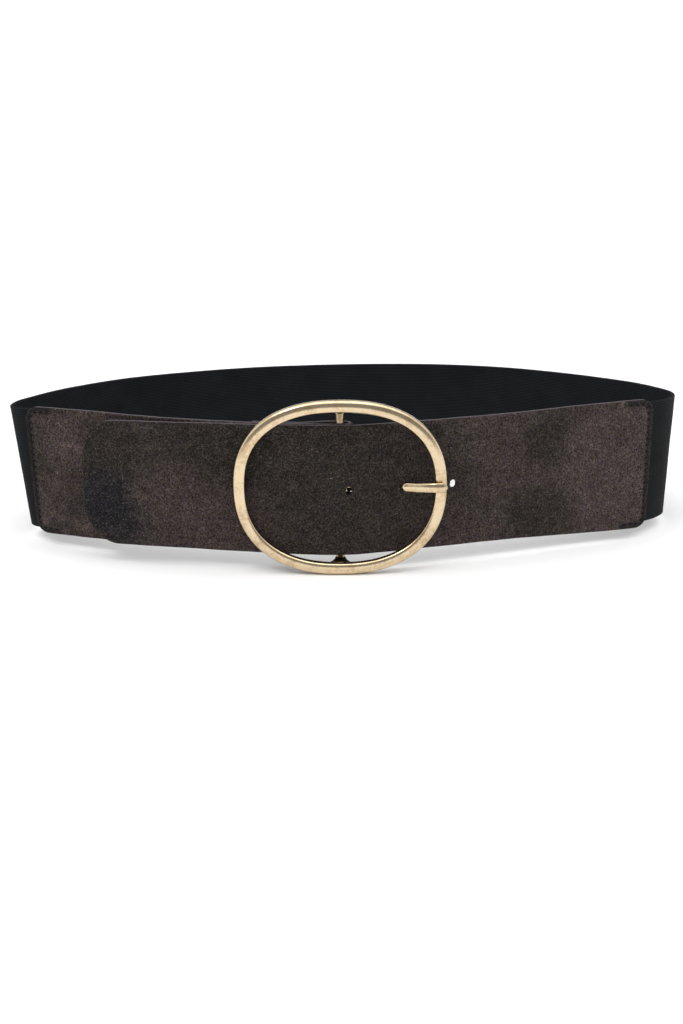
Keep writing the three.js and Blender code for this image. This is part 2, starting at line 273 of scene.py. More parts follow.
@dataclass(frozen=True)
class BeltSizes:
    """The belt's real sizes, the same as those of its solids."""

    loop_width: float = 320 * MM
    loop_depth: float = 136 * MM
    layer_gap: float = 0.3 * MM
    elastic_width: float = 60 * MM
    elastic_thickness: float = 1.4 * MM
    seam_overlap: float = 18 * MM
    panel_thickness: float = 2 * MM
    strap_width: float = 60.8 * MM
    tip_width: float = 59.4 * MM
    left_end_width: float = 63 * MM
    right_end_width: float = 64 * MM
    left_reach: float = 151 * MM
    right_reach: float = 153.2 * MM
    widening_length: float = 95 * MM
    turn_back_length: float = 40 * MM
    end_corner: float = 6 * MM
    fold_nose: float = 1.7 * MM
    tip_reach: float = 121.2 * MM
    tip_length: float = 16 * MM
    tip_top_round: float = 24 * MM
    tip_bottom_round: float = 20 * MM
    hole_diameter: float = 3.8 * MM
    hole_pitch: float = 24.6 * MM
    hole_offset: float = 3.1 * MM
    hole_drop: float = 0.8 * MM
    holes: int = 3
    prong_hole: int = 1
    ring_width: float = 97 * MM
    ring_height: float = 82 * MM
    ring_arch: float = 3.5 * MM
    ring_rise: float = 1 * MM
    ring_stand: float = 0.5 * MM
    rim_width: float = 5.1 * MM
    rim_depth: float = 3.6 * MM
    rim_back_round: float = 0.6 * MM
    bar_diameter: float = 3.5 * MM
    foot_width: float = 11 * MM
    prong_width: float = 4 * MM
    prong_thickness: float = 2.6 * MM
    prong_eye: float = 1.5 * MM
    prong_eye_height: float = 6 * MM
    prong_past_rim: float = 0.5 * MM
    rest_flat: float = 0.15 * MM


class BeltPlan:
    """Where everything lies: the loop's route, the pieces' ends on it, and how the belt leans."""

    ROUTE_SAMPLES = 900

    def __init__(self, sizes: BeltSizes) -> None:
        """Work out every place from the belt's sizes.

        Args:
            sizes: The belt's real sizes.
        """
        self.sizes = sizes
        self.middle = sizes.elastic_width / 2
        self.bar_radius = sizes.bar_diameter / 2
        layer_step = sizes.panel_thickness + sizes.layer_gap
        rows = [
            Vector((
                row.across * sizes.loop_width,
                row.back * sizes.loop_depth + row.behind * layer_step,
                row.lean * sizes.elastic_width,
            ))
            for row in LOOP_ROWS
        ]
        self.loop = Route(smooth_line(rows, self.ROUTE_SAMPLES), sizes.elastic_width)
        self.buckle_at = self.loop.distance_where(lambda point: point.x >= 0)
        self.bar_at = self.loop.length
        self.tip_at = self.buckle_at - sizes.tip_reach
        self.right_end_at = self.buckle_at + sizes.right_reach
        self.left_end_at = self.bar_at - sizes.left_reach
        self.strap_face = self.loop.at(self.buckle_at).y - sizes.panel_thickness
        self.bar_y = self.loop.at(self.bar_at).y + sizes.layer_gap + self.bar_radius
        self.ring_back = self.strap_face - sizes.ring_stand
        self.ring_middle = self.middle + sizes.ring_rise
        self.hole_height = self.middle - sizes.hole_drop
        self.to_frame = self._stand()

    def _stand(self) -> Matrix:
        """Lean the belt back until the ring's rim and the band's back both rest.

        Returns:
            The matrix from the level belt to the frame of the solids.
        """
        s = self.sizes
        foot = Vector((0, self.ring_back - s.rim_back_round, self.ring_middle - s.ring_height / 2))
        back = max(point.y for point in self.loop.points) - s.layer_gap
        lean = math.atan2(s.rest_flat - foot.z, back - foot.y)
        turn = Matrix.Rotation(-lean, 4, "X")
        ring_low, ring_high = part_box("buckle_frame")
        shift = Vector((
            (ring_low[0] + ring_high[0]) / 2,
            SOLIDS_BOX[1][1] - (turn @ Vector((0, back, s.elastic_width))).y,
            -(turn @ foot).z,
        ))
        return Matrix.Translation(shift) @ turn

    def hole_at(self, index: int) -> float:
        """Give the distance along the strap of one of its holes."""
        return self.buckle_at + self.sizes.hole_offset + index * self.sizes.hole_pitch


def corner_drop(distance: float, length: float, height: float) -> float:
    """Give how far a rounded corner has dropped at a distance from the sheet's end."""
    t = clamp((length - distance) / length)
    return height * (1 - math.sqrt(1 - t * t))


def corner_steps(length: float, count: int) -> list[float]:
    """Give distances from an end that divide a rounded corner into even turns."""
    return [length * (1 - math.cos(math.pi / 2 * k / count)) for k in range(count)]


class Facing(Enum):
    """The sides of a sheet, each with its own finish."""

    OUTER = 0
    CUT_EDGE = 1
    INNER = 2


@dataclass(frozen=True)
class Opening:
    """A hole or slot with rounded corners.

    Args:
        along: Where its middle is along the sheet.
        up: Height of its middle.
        half_length: Half its length along the sheet.
        half_height: Half its height.
        corner: Radius of its corners.
    """

    along: float
    up: float
    half_length: float
    half_height: float
    corner: float

    def away(self, along: float, up: float) -> float:
        """Give the distance from the opening's edge, less than zero inside it."""
        x = abs(along - self.along) - self.half_length + self.corner
        z = abs(up - self.up) - self.half_height + self.corner
        return math.hypot(max(x, 0), max(z, 0)) + min(max(x, z), 0) - self.corner

    def on_edge(self, along: float, up: float) -> tuple[float, float]:
        """Move a point to the nearest place on the opening's edge."""
        probe = 0.01 * MM
        for _ in range(3):
            away = self.away(along, up)
            slope_along = (self.away(along + probe, up) - away) / probe
            slope_up = (self.away(along, up + probe) - away) / probe
            along -= away * slope_along
            up -= away * slope_up
        return along, up


class Sheet:
    """A sheet that is cut flat, pierced, given its thickness and bent along a route."""

    UV_NAME = "flat_cut"
    # Faces this close to an opening count as its wall, which is given painted shade.
    HOLE_WALL = 0.5 * MM

    def __init__(
        self,
        columns: Sequence[float],
        rows: Sequence[float],
        edges: Callable[[float], tuple[float, float]],
    ) -> None:
        """Cut the sheet from a grid.

        Args:
            columns: Distances along the belt.
            rows: Shares of the sheet's height.
            edges: Gives the lower and upper edge at a distance.
        """
        self.work = bmesh.new()
        last_column = len(columns) - 1
        last_row = len(rows) - 1
        bmesh.ops.create_grid(
            self.work, x_segments=last_column, y_segments=last_row, size=0.5
        )
        for vert in self.work.verts:
            along = columns[round((vert.co.x + 0.5) * last_column)]
            share = rows[round((vert.co.y + 0.5) * last_row)]
            low, high = edges(along)
            vert.co = Vector((along, 0, lerp(low, high, share)))
        self.thickness = 0.0
        self.openings: list[Opening] = []

    def pierce(self, opening: Opening, reach: float) -> None:
        """Cut an opening through the flat sheet.

        Args:
            opening: The opening's shape and place.
            reach: Width of the cells round it, whose corners move onto its edge.
        """
        self.openings.append(opening)
        inside = [v for v in self.work.verts if opening.away(v.co.x, v.co.z) < 0]
        bmesh.ops.delete(self.work, geom=inside, context="VERTS")
        for vert in self.work.verts:
            if vert.is_boundary and opening.away(vert.co.x, vert.co.z) < reach:
                along, up = opening.on_edge(vert.co.x, vert.co.z)
                vert.co = Vector((along, 0, up))

    def thicken(
        self, inner: float, thickness: float, outer_round: float, inner_round: float
    ) -> None:
        """Give the sheet its wall and ease its edges.

        Args:
            inner: Offset of its inner face from the route.
            thickness: Its thickness.
            outer_round: Radius of the eased outer edge.
            inner_round: Radius of the eased inner edge.
        """
        self.thickness = thickness
        rim = [vert for vert in self.work.verts if vert.is_boundary]
        self.rim_tree = kdtree.KDTree(len(rim) * 3)
        for i, vert in enumerate(rim):
            ahead = [e.other_vert(vert) for e in vert.link_edges if e.is_boundary]
            self.rim_tree.insert(vert.co, 3 * i)
            for k, other in enumerate(ahead[:2]):
                self.rim_tree.insert(vert.co.lerp(other.co, 1 / 3), 3 * i + 1 + k)
        self.rim_tree.balance()
        grown = bmesh.ops.extrude_face_region(self.work, geom=self.work.faces[:])
        outer = {item for item in grown["geom"] if isinstance(item, bmesh.types.BMVert)}
        bmesh.ops.translate(self.work, vec=(0, thickness, 0), verts=list(outer))
        self.work.normal_update()
        for face in self.work.faces:
            middle = face.calc_center_median()
            if abs(face.normal.y) > 0.5:
                facing = Facing.INNER if middle.y < thickness / 2 else Facing.OUTER
            # Walls of holes and slots take the dark backing finish, not the pale cut edge: painted
            # shade inside the openings.
            elif any(hole.away(middle.x, middle.z) < self.HOLE_WALL for hole in self.openings):
                facing = Facing.INNER
            else:
                facing = Facing.CUT_EDGE
            face.material_index = facing.value
        for vert in self.work.verts:
            on_outer = vert in outer
            radius = outer_round if on_outer else inner_round
            short = max(0.0, radius - self.from_rim(vert.co))
            eased = radius - math.sqrt(max(0.0, radius * radius - short * short))
            vert.co.y = inner + (thickness - eased if on_outer else eased)

    def from_rim(self, flat: Vector) -> float:
        """Give the distance in the sheet's plane to its nearest edge."""
        return self.rim_tree.find(Vector((flat.x, 0, flat.z)))[2]

    def shape(self, move: Callable[[Vector, float, float], Vector], inner: float) -> None:
        """Move the points of the flat wall.

        Args:
            move: Takes a point, its share through the wall from inner to outer face, and its
                distance to the rim, and gives the moved point.
            inner: Offset of the inner face from the route.
        """
        for vert in self.work.verts:
            share = clamp((vert.co.y - inner) / self.thickness)
            vert.co = move(vert.co, share, self.from_rim(vert.co))

    def mark(self, name: str, value: Callable[[Vector, float], float]) -> None:
        """Keep a number at each point for the sheet's finish to read.

        Args:
            name: The attribute's name.
            value: Takes a flat point and its distance to the rim, and gives the number.
        """
        layer = self.work.verts.layers.float.new(name)
        for vert in self.work.verts:
            vert[layer] = value(vert.co, self.from_rim(vert.co))

    def bend(self, route: Route, to_frame: Matrix) -> None:
        """Keep the flat cut as the UV map and bend the sheet along its route.

        Args:
            route: The route that it follows.
            to_frame: From the level belt to the frame of the solids.
        """
        uv = self.work.loops.layers.uv.new(self.UV_NAME)
        for face in self.work.faces:
            for loop in face.loops:
                loop[uv].uv = (loop.vert.co.x, loop.vert.co.z)
        bend_points(self.work, route, to_frame)


def bend_points(work: bmesh.types.BMesh, route: Route, to_frame: Matrix) -> None:
    """Bend a flat mesh along a route, stand it in the frame and turn its faces outward.

    Args:
        work: The mesh, with x along the route, y outward and z up.
        route: The route that it follows.
        to_frame: From the level belt to the frame of the solids.
    """
    for vert in work.verts:
        vert.co = to_frame @ route.carry(vert.co)
        vert.co.z = max(vert.co.z, 0.0)
    bmesh.ops.recalc_face_normals(work, faces=work.faces[:])


def finished(
    name: str, work: bmesh.types.BMesh, materials: Sequence[bpy.types.Material]
) -> bpy.types.Object:
    """Make an object of a mesh and join it to the belt's body.

    Args:
        name: The piece's name.
        work: Its mesh, in the frame of the solids.
        materials: Its materials, in the order of its faces' numbers.

    Returns:
        The new object, at the origin.
    """
    mesh = bpy.data.meshes.new(name)
    work.to_mesh(mesh)
    work.free()
    for material in materials:
        mesh.materials.append(material)
    mesh.shade_smooth()
    piece = bpy.data.objects.new(name, mesh)
    bpy.context.scene.collection.objects.link(piece)
    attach(piece, BODY)
    return piece


class Recipe:
    """A material's node tree, built one named step at a time.

    The Mix node's sockets share their names, so its colour ones are reached by their numbers.
    """

    FIRST_COLOUR = 6
    SECOND_COLOUR = 7
    MIXED_COLOUR = 2

    def __init__(self, name: str) -> None:
        """Start a material with one shader.

        Args:
            name: The material's name.
        """
        self.material = bpy.data.materials.new(name)
        self.material.use_nodes = True
        self.tree = self.material.node_tree
        self.shader = self.tree.nodes["Principled BSDF"]

    def node(self, kind: str, **settings: object) -> bpy.types.Node:
        """Add a node and set its options."""
        made = self.tree.nodes.new(kind)
        for key, value in settings.items():
            setattr(made, key, value)
        return made

    def feed(self, socket: bpy.types.NodeSocket, value: object) -> None:
        """Link a socket to another, or give it a value."""
        if isinstance(value, bpy.types.NodeSocket):
            self.tree.links.new(value, socket)
        else:
            socket.default_value = value

    def surface(self, **values: object) -> None:
        """Set the shader's sockets, named with underscores for spaces."""
        for key, value in values.items():
            self.feed(self.shader.inputs[key.replace("_", " ")], value)

    def coordinates(self, kind: str, scale: Sequence[float] = (1, 1, 1)) -> bpy.types.NodeSocket:
        """Give the object's or the flat cut's coordinates, scaled along each axis."""
        source = self.node("ShaderNodeTexCoord").outputs[kind]
        mapping = self.node("ShaderNodeMapping")
        self.feed(mapping.inputs["Vector"], source)
        mapping.inputs["Scale"].default_value = scale
        return mapping.outputs["Vector"]

    def cloud(
        self, where: bpy.types.NodeSocket, size: float, detail: float = 2.0, rough: float = 0.5
    ) -> bpy.types.NodeSocket:
        """Give soft noise with patches of about a real size, in metres."""
        made = self.node("ShaderNodeTexNoise")
        self.feed(made.inputs["Vector"], where)
        made.inputs["Scale"].default_value = 1 / size
        made.inputs["Detail"].default_value = detail
        made.inputs["Roughness"].default_value = rough
        return made.outputs["Fac"]

    def cells(self, where: bpy.types.NodeSocket, size: float) -> bpy.types.Node:
        """Give random cells of about a real size, in metres."""
        made = self.node("ShaderNodeTexVoronoi")
        self.feed(made.inputs["Vector"], where)
        made.inputs["Scale"].default_value = 1 / size
        return made

    def bands(self, where: bpy.types.NodeSocket, axis: str, pitch: float) -> bpy.types.NodeSocket:
        """Give a sine wave across one axis, with its pitch in metres."""
        made = self.node("ShaderNodeTexWave", wave_type="BANDS", bands_direction=axis)
        self.feed(made.inputs["Vector"], where)
        made.inputs["Scale"].default_value = math.pi / 10 / pitch
        return made.outputs["Fac"]

    def between(
        self, value: object, low: float, high: float, to_low: float = 0.0, to_high: float = 1.0
    ) -> bpy.types.NodeSocket:
        """Stretch a range of a value to another range, and hold it there."""
        made = self.node("ShaderNodeMapRange", clamp=True)
        self.feed(made.inputs["Value"], value)
        self.feed(made.inputs["From Min"], low)
        self.feed(made.inputs["From Max"], high)
        self.feed(made.inputs["To Min"], to_low)
        self.feed(made.inputs["To Max"], to_high)
        return made.outputs["Result"]

    def sum(self, operation: str, first: object, second: object) -> bpy.types.NodeSocket:
        """Combine two numbers by a named operation."""
        made = self.node("ShaderNodeMath", operation=operation)
        self.feed(made.inputs[0], first)
        self.feed(made.inputs[1], second)
        return made.outputs[0]

    def mix(
        self, blend: str, share: object, first: object, second: object
    ) -> bpy.types.NodeSocket:
        """Mix two colours in a named way."""
        made = self.node("ShaderNodeMix", data_type="RGBA", blend_type=blend)
        self.feed(made.inputs["Factor"], share)
        self.feed(made.inputs[self.FIRST_COLOUR], first)
        self.feed(made.inputs[self.SECOND_COLOUR], second)
        return made.outputs[self.MIXED_COLOUR]

    def blend(self, first: object, second: object, share: float) -> bpy.types.NodeSocket:
        """Add a share of one number to the rest of another."""
        kept = self.sum("MULTIPLY", first, 1 - share)
        return self.sum("ADD", kept, self.sum("MULTIPLY", second, share))

    def tint(self, share: object, first: object, second: object) -> bpy.types.NodeSocket:
        """Go a share of the way from one colour to another."""
        return self.mix("MIX", share, first, second)

    def times(self, colour: object, factor: object) -> bpy.types.NodeSocket:
        """Multiply a colour by a number or by another colour."""
        return self.mix("MULTIPLY", 1.0, colour, factor)

    def relief(
        self, height: bpy.types.NodeSocket, depth: float, under: bpy.types.NodeSocket | None = None
    ) -> bpy.types.NodeSocket:
        """Give a bump of a real depth, in metres, over another one."""
        made = self.node("ShaderNodeBump")
        self.feed(made.inputs["Height"], height)
        made.inputs["Distance"].default_value = depth
        if under is not None:
            self.feed(made.inputs["Normal"], under)
        return made.outputs["Normal"]


Colour = tuple[float, float, float, float]


@dataclass(frozen=True)
class Patch:
    """A cloudy patch of another tone on a panel's face; the strap's first patch is painted shade
    instead.

    Args:
        along: Distance of its middle from the panel's free or seam end.
        up: Height of its middle over the band's lower edge.
        reach: Its radius.
        share: How strong it is in the middle.
        tone: Its colour.
    """

    along: float
    up: float
    reach: float
    share: float
    tone: Colour


OLIVE: Colour = (0.0136, 0.0128, 0.0105, 1)
# Painted shade for the strap inside the ring.
RING_SHADE_BROWN: Colour = (0.0170, 0.0150, 0.0136, 1)
BLUE_BLACK: Colour = (0.0072, 0.0078, 0.0108, 1)
ROSY_BROWN: Colour = (0.0412, 0.0290, 0.0288, 1)
DUST_BROWN: Colour = (0.0570, 0.0420, 0.0415, 1)

STRAP_PATCHES = (
    # Painted shade on the strap inside the ring, which lies in shadow there.
    Patch(121 * MM, 33 * MM, 64 * MM, 0.9, RING_SHADE_BROWN),
    Patch(60 * MM, 50 * MM, 34 * MM, 0.75, OLIVE),
    Patch(14 * MM, 47 * MM, 24 * MM, 0.85, OLIVE),
    Patch(45 * MM, 24 * MM, 20 * MM, 0.7, ROSY_BROWN),
    Patch(70 * MM, 8 * MM, 26 * MM, 0.75, ROSY_BROWN),
    Patch(165 * MM, 14 * MM, 18 * MM, 0.45, ROSY_BROWN),
    Patch(262 * MM, 28 * MM, 52 * MM, 0.75, DUST_BROWN),
    Patch(198 * MM, 40 * MM, 24 * MM, 0.4, ROSY_BROWN),
    Patch(217 * MM, 9 * MM, 22 * MM, 0.7, OLIVE),
    Patch(219 * MM, 46 * MM, 16 * MM, 0.8, OLIVE),
    Patch(8.5 * MM, 21 * MM, 19 * MM, 0.95, BLUE_BLACK),
    Patch(17 * MM, 10 * MM, 16 * MM, 0.8, BLUE_BLACK),
)
PANEL_PATCHES = (
    Patch(22 * MM, 46 * MM, 16 * MM, 0.9, DUST_BROWN),
    Patch(16 * MM, 22 * MM, 16 * MM, 0.7, ROSY_BROWN),
    Patch(22 * MM, 14 * MM, 8 * MM, 0.4, BLUE_BLACK),
    Patch(6 * MM, 34 * MM, 9 * MM, 0.5, OLIVE),
    Patch(31 * MM, 50 * MM, 8 * MM, 0.4, OLIVE),
)


@dataclass(frozen=True)
class SuedeFinish:
    """Dark brown suede-look face with cloudy warm and cool patches, fine metallic glitter, and painted
    shade along its stitch lines.
    """

    brown: Colour = (0.0345, 0.0276, 0.0266, 1)
    warm: Colour = (0.0520, 0.0375, 0.0370, 1)
    cool: Colour = (0.0186, 0.0168, 0.0152, 1)
    olive: Colour = (0.98, 1.04, 0.84, 1)
    violet: Colour = (1.04, 0.96, 1.10, 1)
    # Painted shade, with some dirt, for the stitch groove and the strip outside it.
    groove: Colour = (0.0058, 0.0054, 0.0062, 1)
    flake_dim: Colour = (0.145, 0.112, 0.100, 1)
    flake_pale: Colour = (0.42, 0.38, 0.35, 1)
    flake_share: float = 0.42
    patch_border: float = 0.4
    patch_ragged: float = 0.5
    patch_size: float = 24 * MM
    mottle_size: float = 4.5 * MM
    hue_size: float = 2.6 * MM
    fleck_size: float = 0.9 * MM
    grain_size: float = 0.62 * MM
    nap_size: float = 0.3 * MM
    flake_size: float = 0.42 * MM
    mottle_contrast: tuple[float, float] = (0.72, 1.4)
    grain_contrast: tuple[float, float] = (0.3, 1.7)
    mottle_depth: float = 0.2 * MM
    fleck_depth: float = 0.2 * MM
    grain_depth: float = 0.22 * MM
    nap_depth: float = 0.08 * MM
    flake_depth: float = 0.25 * MM

    def material(self, name: str, start: float, patches: Sequence[Patch]) -> bpy.types.Material:
        """Build the finish of one panel.

        Args:
            name: The material's name.
            start: Where the panel's end lies on its flat cut.
            patches: The panel's own cloudy patches.

        Returns:
            The material.
        """
        recipe = Recipe(name)
        where = recipe.coordinates("Object")
        flat = recipe.coordinates("UV")
        clouds = recipe.cloud(where, self.patch_size, 3.0, 0.55)
        mottle = recipe.cloud(where, self.mottle_size, 3.0, 0.6)
        hue = recipe.cloud(recipe.coordinates("Object", (1, 1, 1.3)), self.hue_size, 2.0, 0.6)
        flecks = recipe.cloud(recipe.coordinates("Object", (1.2, 1, 1)), self.fleck_size, 2.0, 0.6)
        grain = recipe.cloud(where, self.grain_size, 2.0, 0.6)
        nap = recipe.cloud(where, self.nap_size, 1.0, 0.5)
        colour = recipe.tint(recipe.between(clouds, 0.48, 0.66, 0.0, 0.9), self.brown, self.warm)
        colour = recipe.tint(recipe.between(clouds, 0.48, 0.34, 0.0, 0.9), colour, self.cool)
        for patch in patches:
            colour = self.clouded(recipe, colour, flat, mottle, start, patch)
        hues = recipe.tint(recipe.between(hue, 0.36, 0.64), self.violet, self.olive)
        colour = recipe.times(colour, recipe.between(mottle, 0.3, 0.7, *self.mottle_contrast))
        colour = recipe.times(colour, hues)
        for speckle in (flecks, grain):
            shade = recipe.between(speckle, 0.32, 0.68, *self.grain_contrast)
            colour = recipe.times(colour, shade)
        flakes = recipe.cells(where, self.flake_size)
        split = recipe.node("ShaderNodeSeparateColor")
        recipe.feed(split.inputs["Color"], flakes.outputs["Color"])
        glint = recipe.sum("POWER", recipe.between(split.outputs["Red"], 0.45, 1.0), 3.0)
        rare = recipe.between(split.outputs["Green"], 0.98, 0.995)
        # Painted shade along the stitch line and the strip outside it, read from the panels' points.
        sunk = recipe.node("ShaderNodeAttribute", attribute_name=SEAM_SHADE_MARK).outputs["Fac"]
        flake = recipe.tint(rare, self.flake_dim, self.flake_pale)
        tilt = recipe.sum("MULTIPLY", flakes.outputs["Distance"], split.outputs["Blue"])
        bump = recipe.relief(mottle, self.mottle_depth)
        bump = recipe.relief(flecks, self.fleck_depth, bump)
        bump = recipe.relief(grain, self.grain_depth, bump)
        bump = recipe.relief(nap, self.nap_depth, bump)
        bump = recipe.relief(recipe.sum("MULTIPLY", tilt, glint), self.flake_depth, bump)
        metal = recipe.sum("MULTIPLY", glint, self.flake_share)
        face = recipe.tint(metal, colour, flake)
        recipe.surface(
            Base_Color=recipe.tint(recipe.between(sunk, 0.0, 0.85), face, self.groove),
            Metallic=metal,
            Roughness=recipe.between(glint, 0, 1, 0.95, 0.42),
            Normal=bump,
            Sheen_Weight=0.05,
            Sheen_Roughness=0.5,
            Sheen_Tint=(0.75, 0.66, 0.62, 1),
            Specular_IOR_Level=0.1,
        )
        return recipe.material

    def clouded(
        self,
        recipe: Recipe,
        colour: object,
        flat: bpy.types.NodeSocket,
        mottle: bpy.types.NodeSocket,
        start: float,
        patch: Patch,
    ) -> bpy.types.NodeSocket:
        """Lay one cloudy patch over a colour.

        Args:
            recipe: The material that it belongs to.
            colour: The colour under it.
            flat: Coordinates on the flat cut.
            mottle: Noise that breaks up the patch's border.
            start: Where the panel's end lies on its flat cut.
            patch: The patch.

        Returns:
            The colour with the patch.
        """
        away = recipe.node("ShaderNodeVectorMath", operation="DISTANCE")
        recipe.feed(away.inputs[0], flat)
        away.inputs[1].default_value = (start + patch.along, patch.up, 0)
        wander = recipe.sum("MULTIPLY", mottle, patch.reach * self.patch_ragged)
        ragged = recipe.sum("ADD", away.outputs["Value"], wander)
        border = patch.reach * self.patch_border
        mask = recipe.between(
            ragged, patch.reach - border, patch.reach + border, patch.share, 0.0
        )
        mask.node.interpolation_type = "SMOOTHSTEP"
        return recipe.tint(mask, colour, patch.tone)


@dataclass(frozen=True)
class CutEdgeFinish:
    """The panels' cut edge: a pale grey-lilac backing with short fibres."""

    pale: Colour = (0.135, 0.115, 0.13, 1)
    dark: Colour = (0.045, 0.038, 0.042, 1)
    fibre_size: float = 0.5 * MM
    fibre_depth: float = 0.15 * MM

    def material(self) -> bpy.types.Material:
        """Build the finish."""
        recipe = Recipe("cut_edge")
        where = recipe.coordinates("Object")
        fibres = recipe.cloud(where, self.fibre_size, 3.0, 0.6)
        recipe.surface(
            Base_Color=recipe.tint(recipe.between(fibres, 0.35, 0.7), self.pale, self.dark),
            Roughness=0.9,
            Normal=recipe.relief(fibres, self.fibre_depth),
            Specular_IOR_Level=0.2,
        )
        return recipe.material


@dataclass(frozen=True)
class LiningFinish:
    """The panels' inner face: a plain dark woven backing."""

    dark: Colour = (0.017, 0.016, 0.018, 1)
    light: Colour = (0.038, 0.035, 0.038, 1)
    thread: float = 0.45 * MM
    weave_depth: float = 0.12 * MM

    def material(self) -> bpy.types.Material:
        """Build the finish."""
        recipe = Recipe("woven_backing")
        flat = recipe.coordinates("UV")
        warp = recipe.bands(flat, "X", self.thread)
        weft = recipe.bands(flat, "Y", self.thread)
        weave = recipe.sum("MULTIPLY", warp, weft)
        recipe.surface(
            Base_Color=recipe.tint(weave, self.dark, self.light),
            Roughness=0.88,
            Normal=recipe.relief(weave, self.weave_depth),
            Specular_IOR_Level=0.12,
        )
        return recipe.material


@dataclass(frozen=True)
class ElasticFinish:
    """Near-black ribbed elastic with fine cross threads and a faint cool sheen, the valleys between its
    ribs painted in shade.
    """

    # Painted shade in the valleys between the ribs.
    valley_shade: Colour = (0.0020, 0.0024, 0.0030, 1)
    dark: Colour = (0.0108, 0.0130, 0.0152, 1)
    light: Colour = (0.0215, 0.0268, 0.0308, 1)
    cross_pitch: float = 0.55 * MM
    cross_depth: float = 0.05 * MM
    fuzz_size: float = 0.3 * MM
    fuzz_depth: float = 0.06 * MM
    patch_size: float = 12 * MM

    def material(self, rib_pitch: float) -> bpy.types.Material:
        """Build the finish for ribs of a given pitch."""
        recipe = Recipe("ribbed_elastic")
        flat = recipe.coordinates("UV")
        where = recipe.coordinates("Object")
        cross = recipe.bands(flat, "X", self.cross_pitch)
        fuzz = recipe.cloud(where, self.fuzz_size, 2.0, 0.6)
        patches = recipe.cloud(where, self.patch_size, 2.0, 0.5)
        shade = recipe.blend(fuzz, patches, 0.4)
        # Painted shade: the valleys between the ribs take the near-black shade colour, the crests the
        # thread's.
        rib_shade_mask = recipe.between(recipe.bands(flat, "Y", rib_pitch), 0.15, 0.75)
        thread = recipe.tint(recipe.between(shade, 0.35, 0.65), self.dark, self.light)
        bump = recipe.relief(cross, self.cross_depth)
        recipe.surface(
            Base_Color=recipe.tint(rib_shade_mask, self.valley_shade, thread),
            Roughness=recipe.between(fuzz, 0.3, 0.7, 0.62, 0.8),
            Normal=recipe.relief(fuzz, self.fuzz_depth, bump),
            Sheen_Weight=0.015,
            Sheen_Roughness=0.4,
            Specular_IOR_Level=0.1,
        )
        return recipe.material


@dataclass(frozen=True)
class GoldFinish:
    """Pale champagne gold plate, satin, a little clouded and rubbed."""

    bright: Colour = (0.690, 0.552, 0.366, 1)
    clouded: Colour = (0.475, 0.340, 0.195, 1)
    satin: float = 0.12
    dull: float = 0.24
    cloud_size: float = 9 * MM
    fine_size: float = 1.3 * MM
    fine_depth: float = 0.012 * MM
    brush_size: float = 1.6 * MM
    brush_depth: float = 0.015 * MM
    brush_squeeze: float = 9

    def material(self) -> bpy.types.Material:
        """Build the finish."""
        recipe = Recipe("champagne_gold")
        where = recipe.coordinates("Object")
        along_brush = recipe.coordinates("Object", (1, 1, self.brush_squeeze))
        clouds = recipe.cloud(where, self.cloud_size, 4.0, 0.6)
        fine = recipe.cloud(where, self.fine_size, 3.0, 0.6)
        brushed = recipe.cloud(along_brush, self.brush_size, 2.0, 0.6)
        mixed = recipe.blend(clouds, fine, 0.4)
        bump = recipe.relief(brushed, self.brush_depth)
        recipe.surface(
            Base_Color=recipe.tint(recipe.between(mixed, 0.47, 0.66), self.bright, self.clouded),
            Metallic=1.0,
            Roughness=recipe.between(mixed, 0.4, 0.66, self.satin, self.dull),
            Normal=recipe.relief(fine, self.fine_depth, bump),
        )
        return recipe.material


@dataclass(frozen=True)
class FootShadeFinish:
    """Painted shade on the bar's feet: dark metal standing in for the shadow where the bar joins the
    ring.
    """

    dark: Colour = (0.030, 0.026, 0.018, 1)
    brown: Colour = (0.16, 0.115, 0.06, 1)
    lump_size: float = 1.1 * MM
    lump_depth: float = 0.25 * MM

    def material(self) -> bpy.types.Material:
        """Build the finish."""
        recipe = Recipe("foot_painted_shade")
        lumps = recipe.cloud(recipe.coordinates("Object"), self.lump_size, 3.0, 0.6)
        recipe.surface(
            Base_Color=recipe.tint(recipe.between(lumps, 0.5, 0.72), self.dark, self.brown),
            Metallic=0.8,
            Roughness=recipe.between(lumps, 0.3, 0.7, 0.38, 0.6),
            Normal=recipe.relief(lumps, self.lump_depth),
        )
        return recipe.material


@dataclass(frozen=True)
class ThreadFinish:
    """Dark brown sewing thread with a soft shine."""

    colour: Colour = (0.010, 0.008, 0.009, 1)
    worn: Colour = (0.026, 0.021, 0.021, 1)
    twist_size: float = 0.3 * MM
    twist_depth: float = 0.08 * MM

    def material(self) -> bpy.types.Material:
        """Build the finish."""
        recipe = Recipe("sewing_thread")
        twist = recipe.cloud(recipe.coordinates("Object"), self.twist_size, 2.0, 0.5)
        recipe.surface(
            Base_Color=recipe.tint(recipe.between(twist, 0.4, 0.7), self.colour, self.worn),
            Roughness=0.55,
            Normal=recipe.relief(twist, self.twist_depth),
        )
        return recipe.material


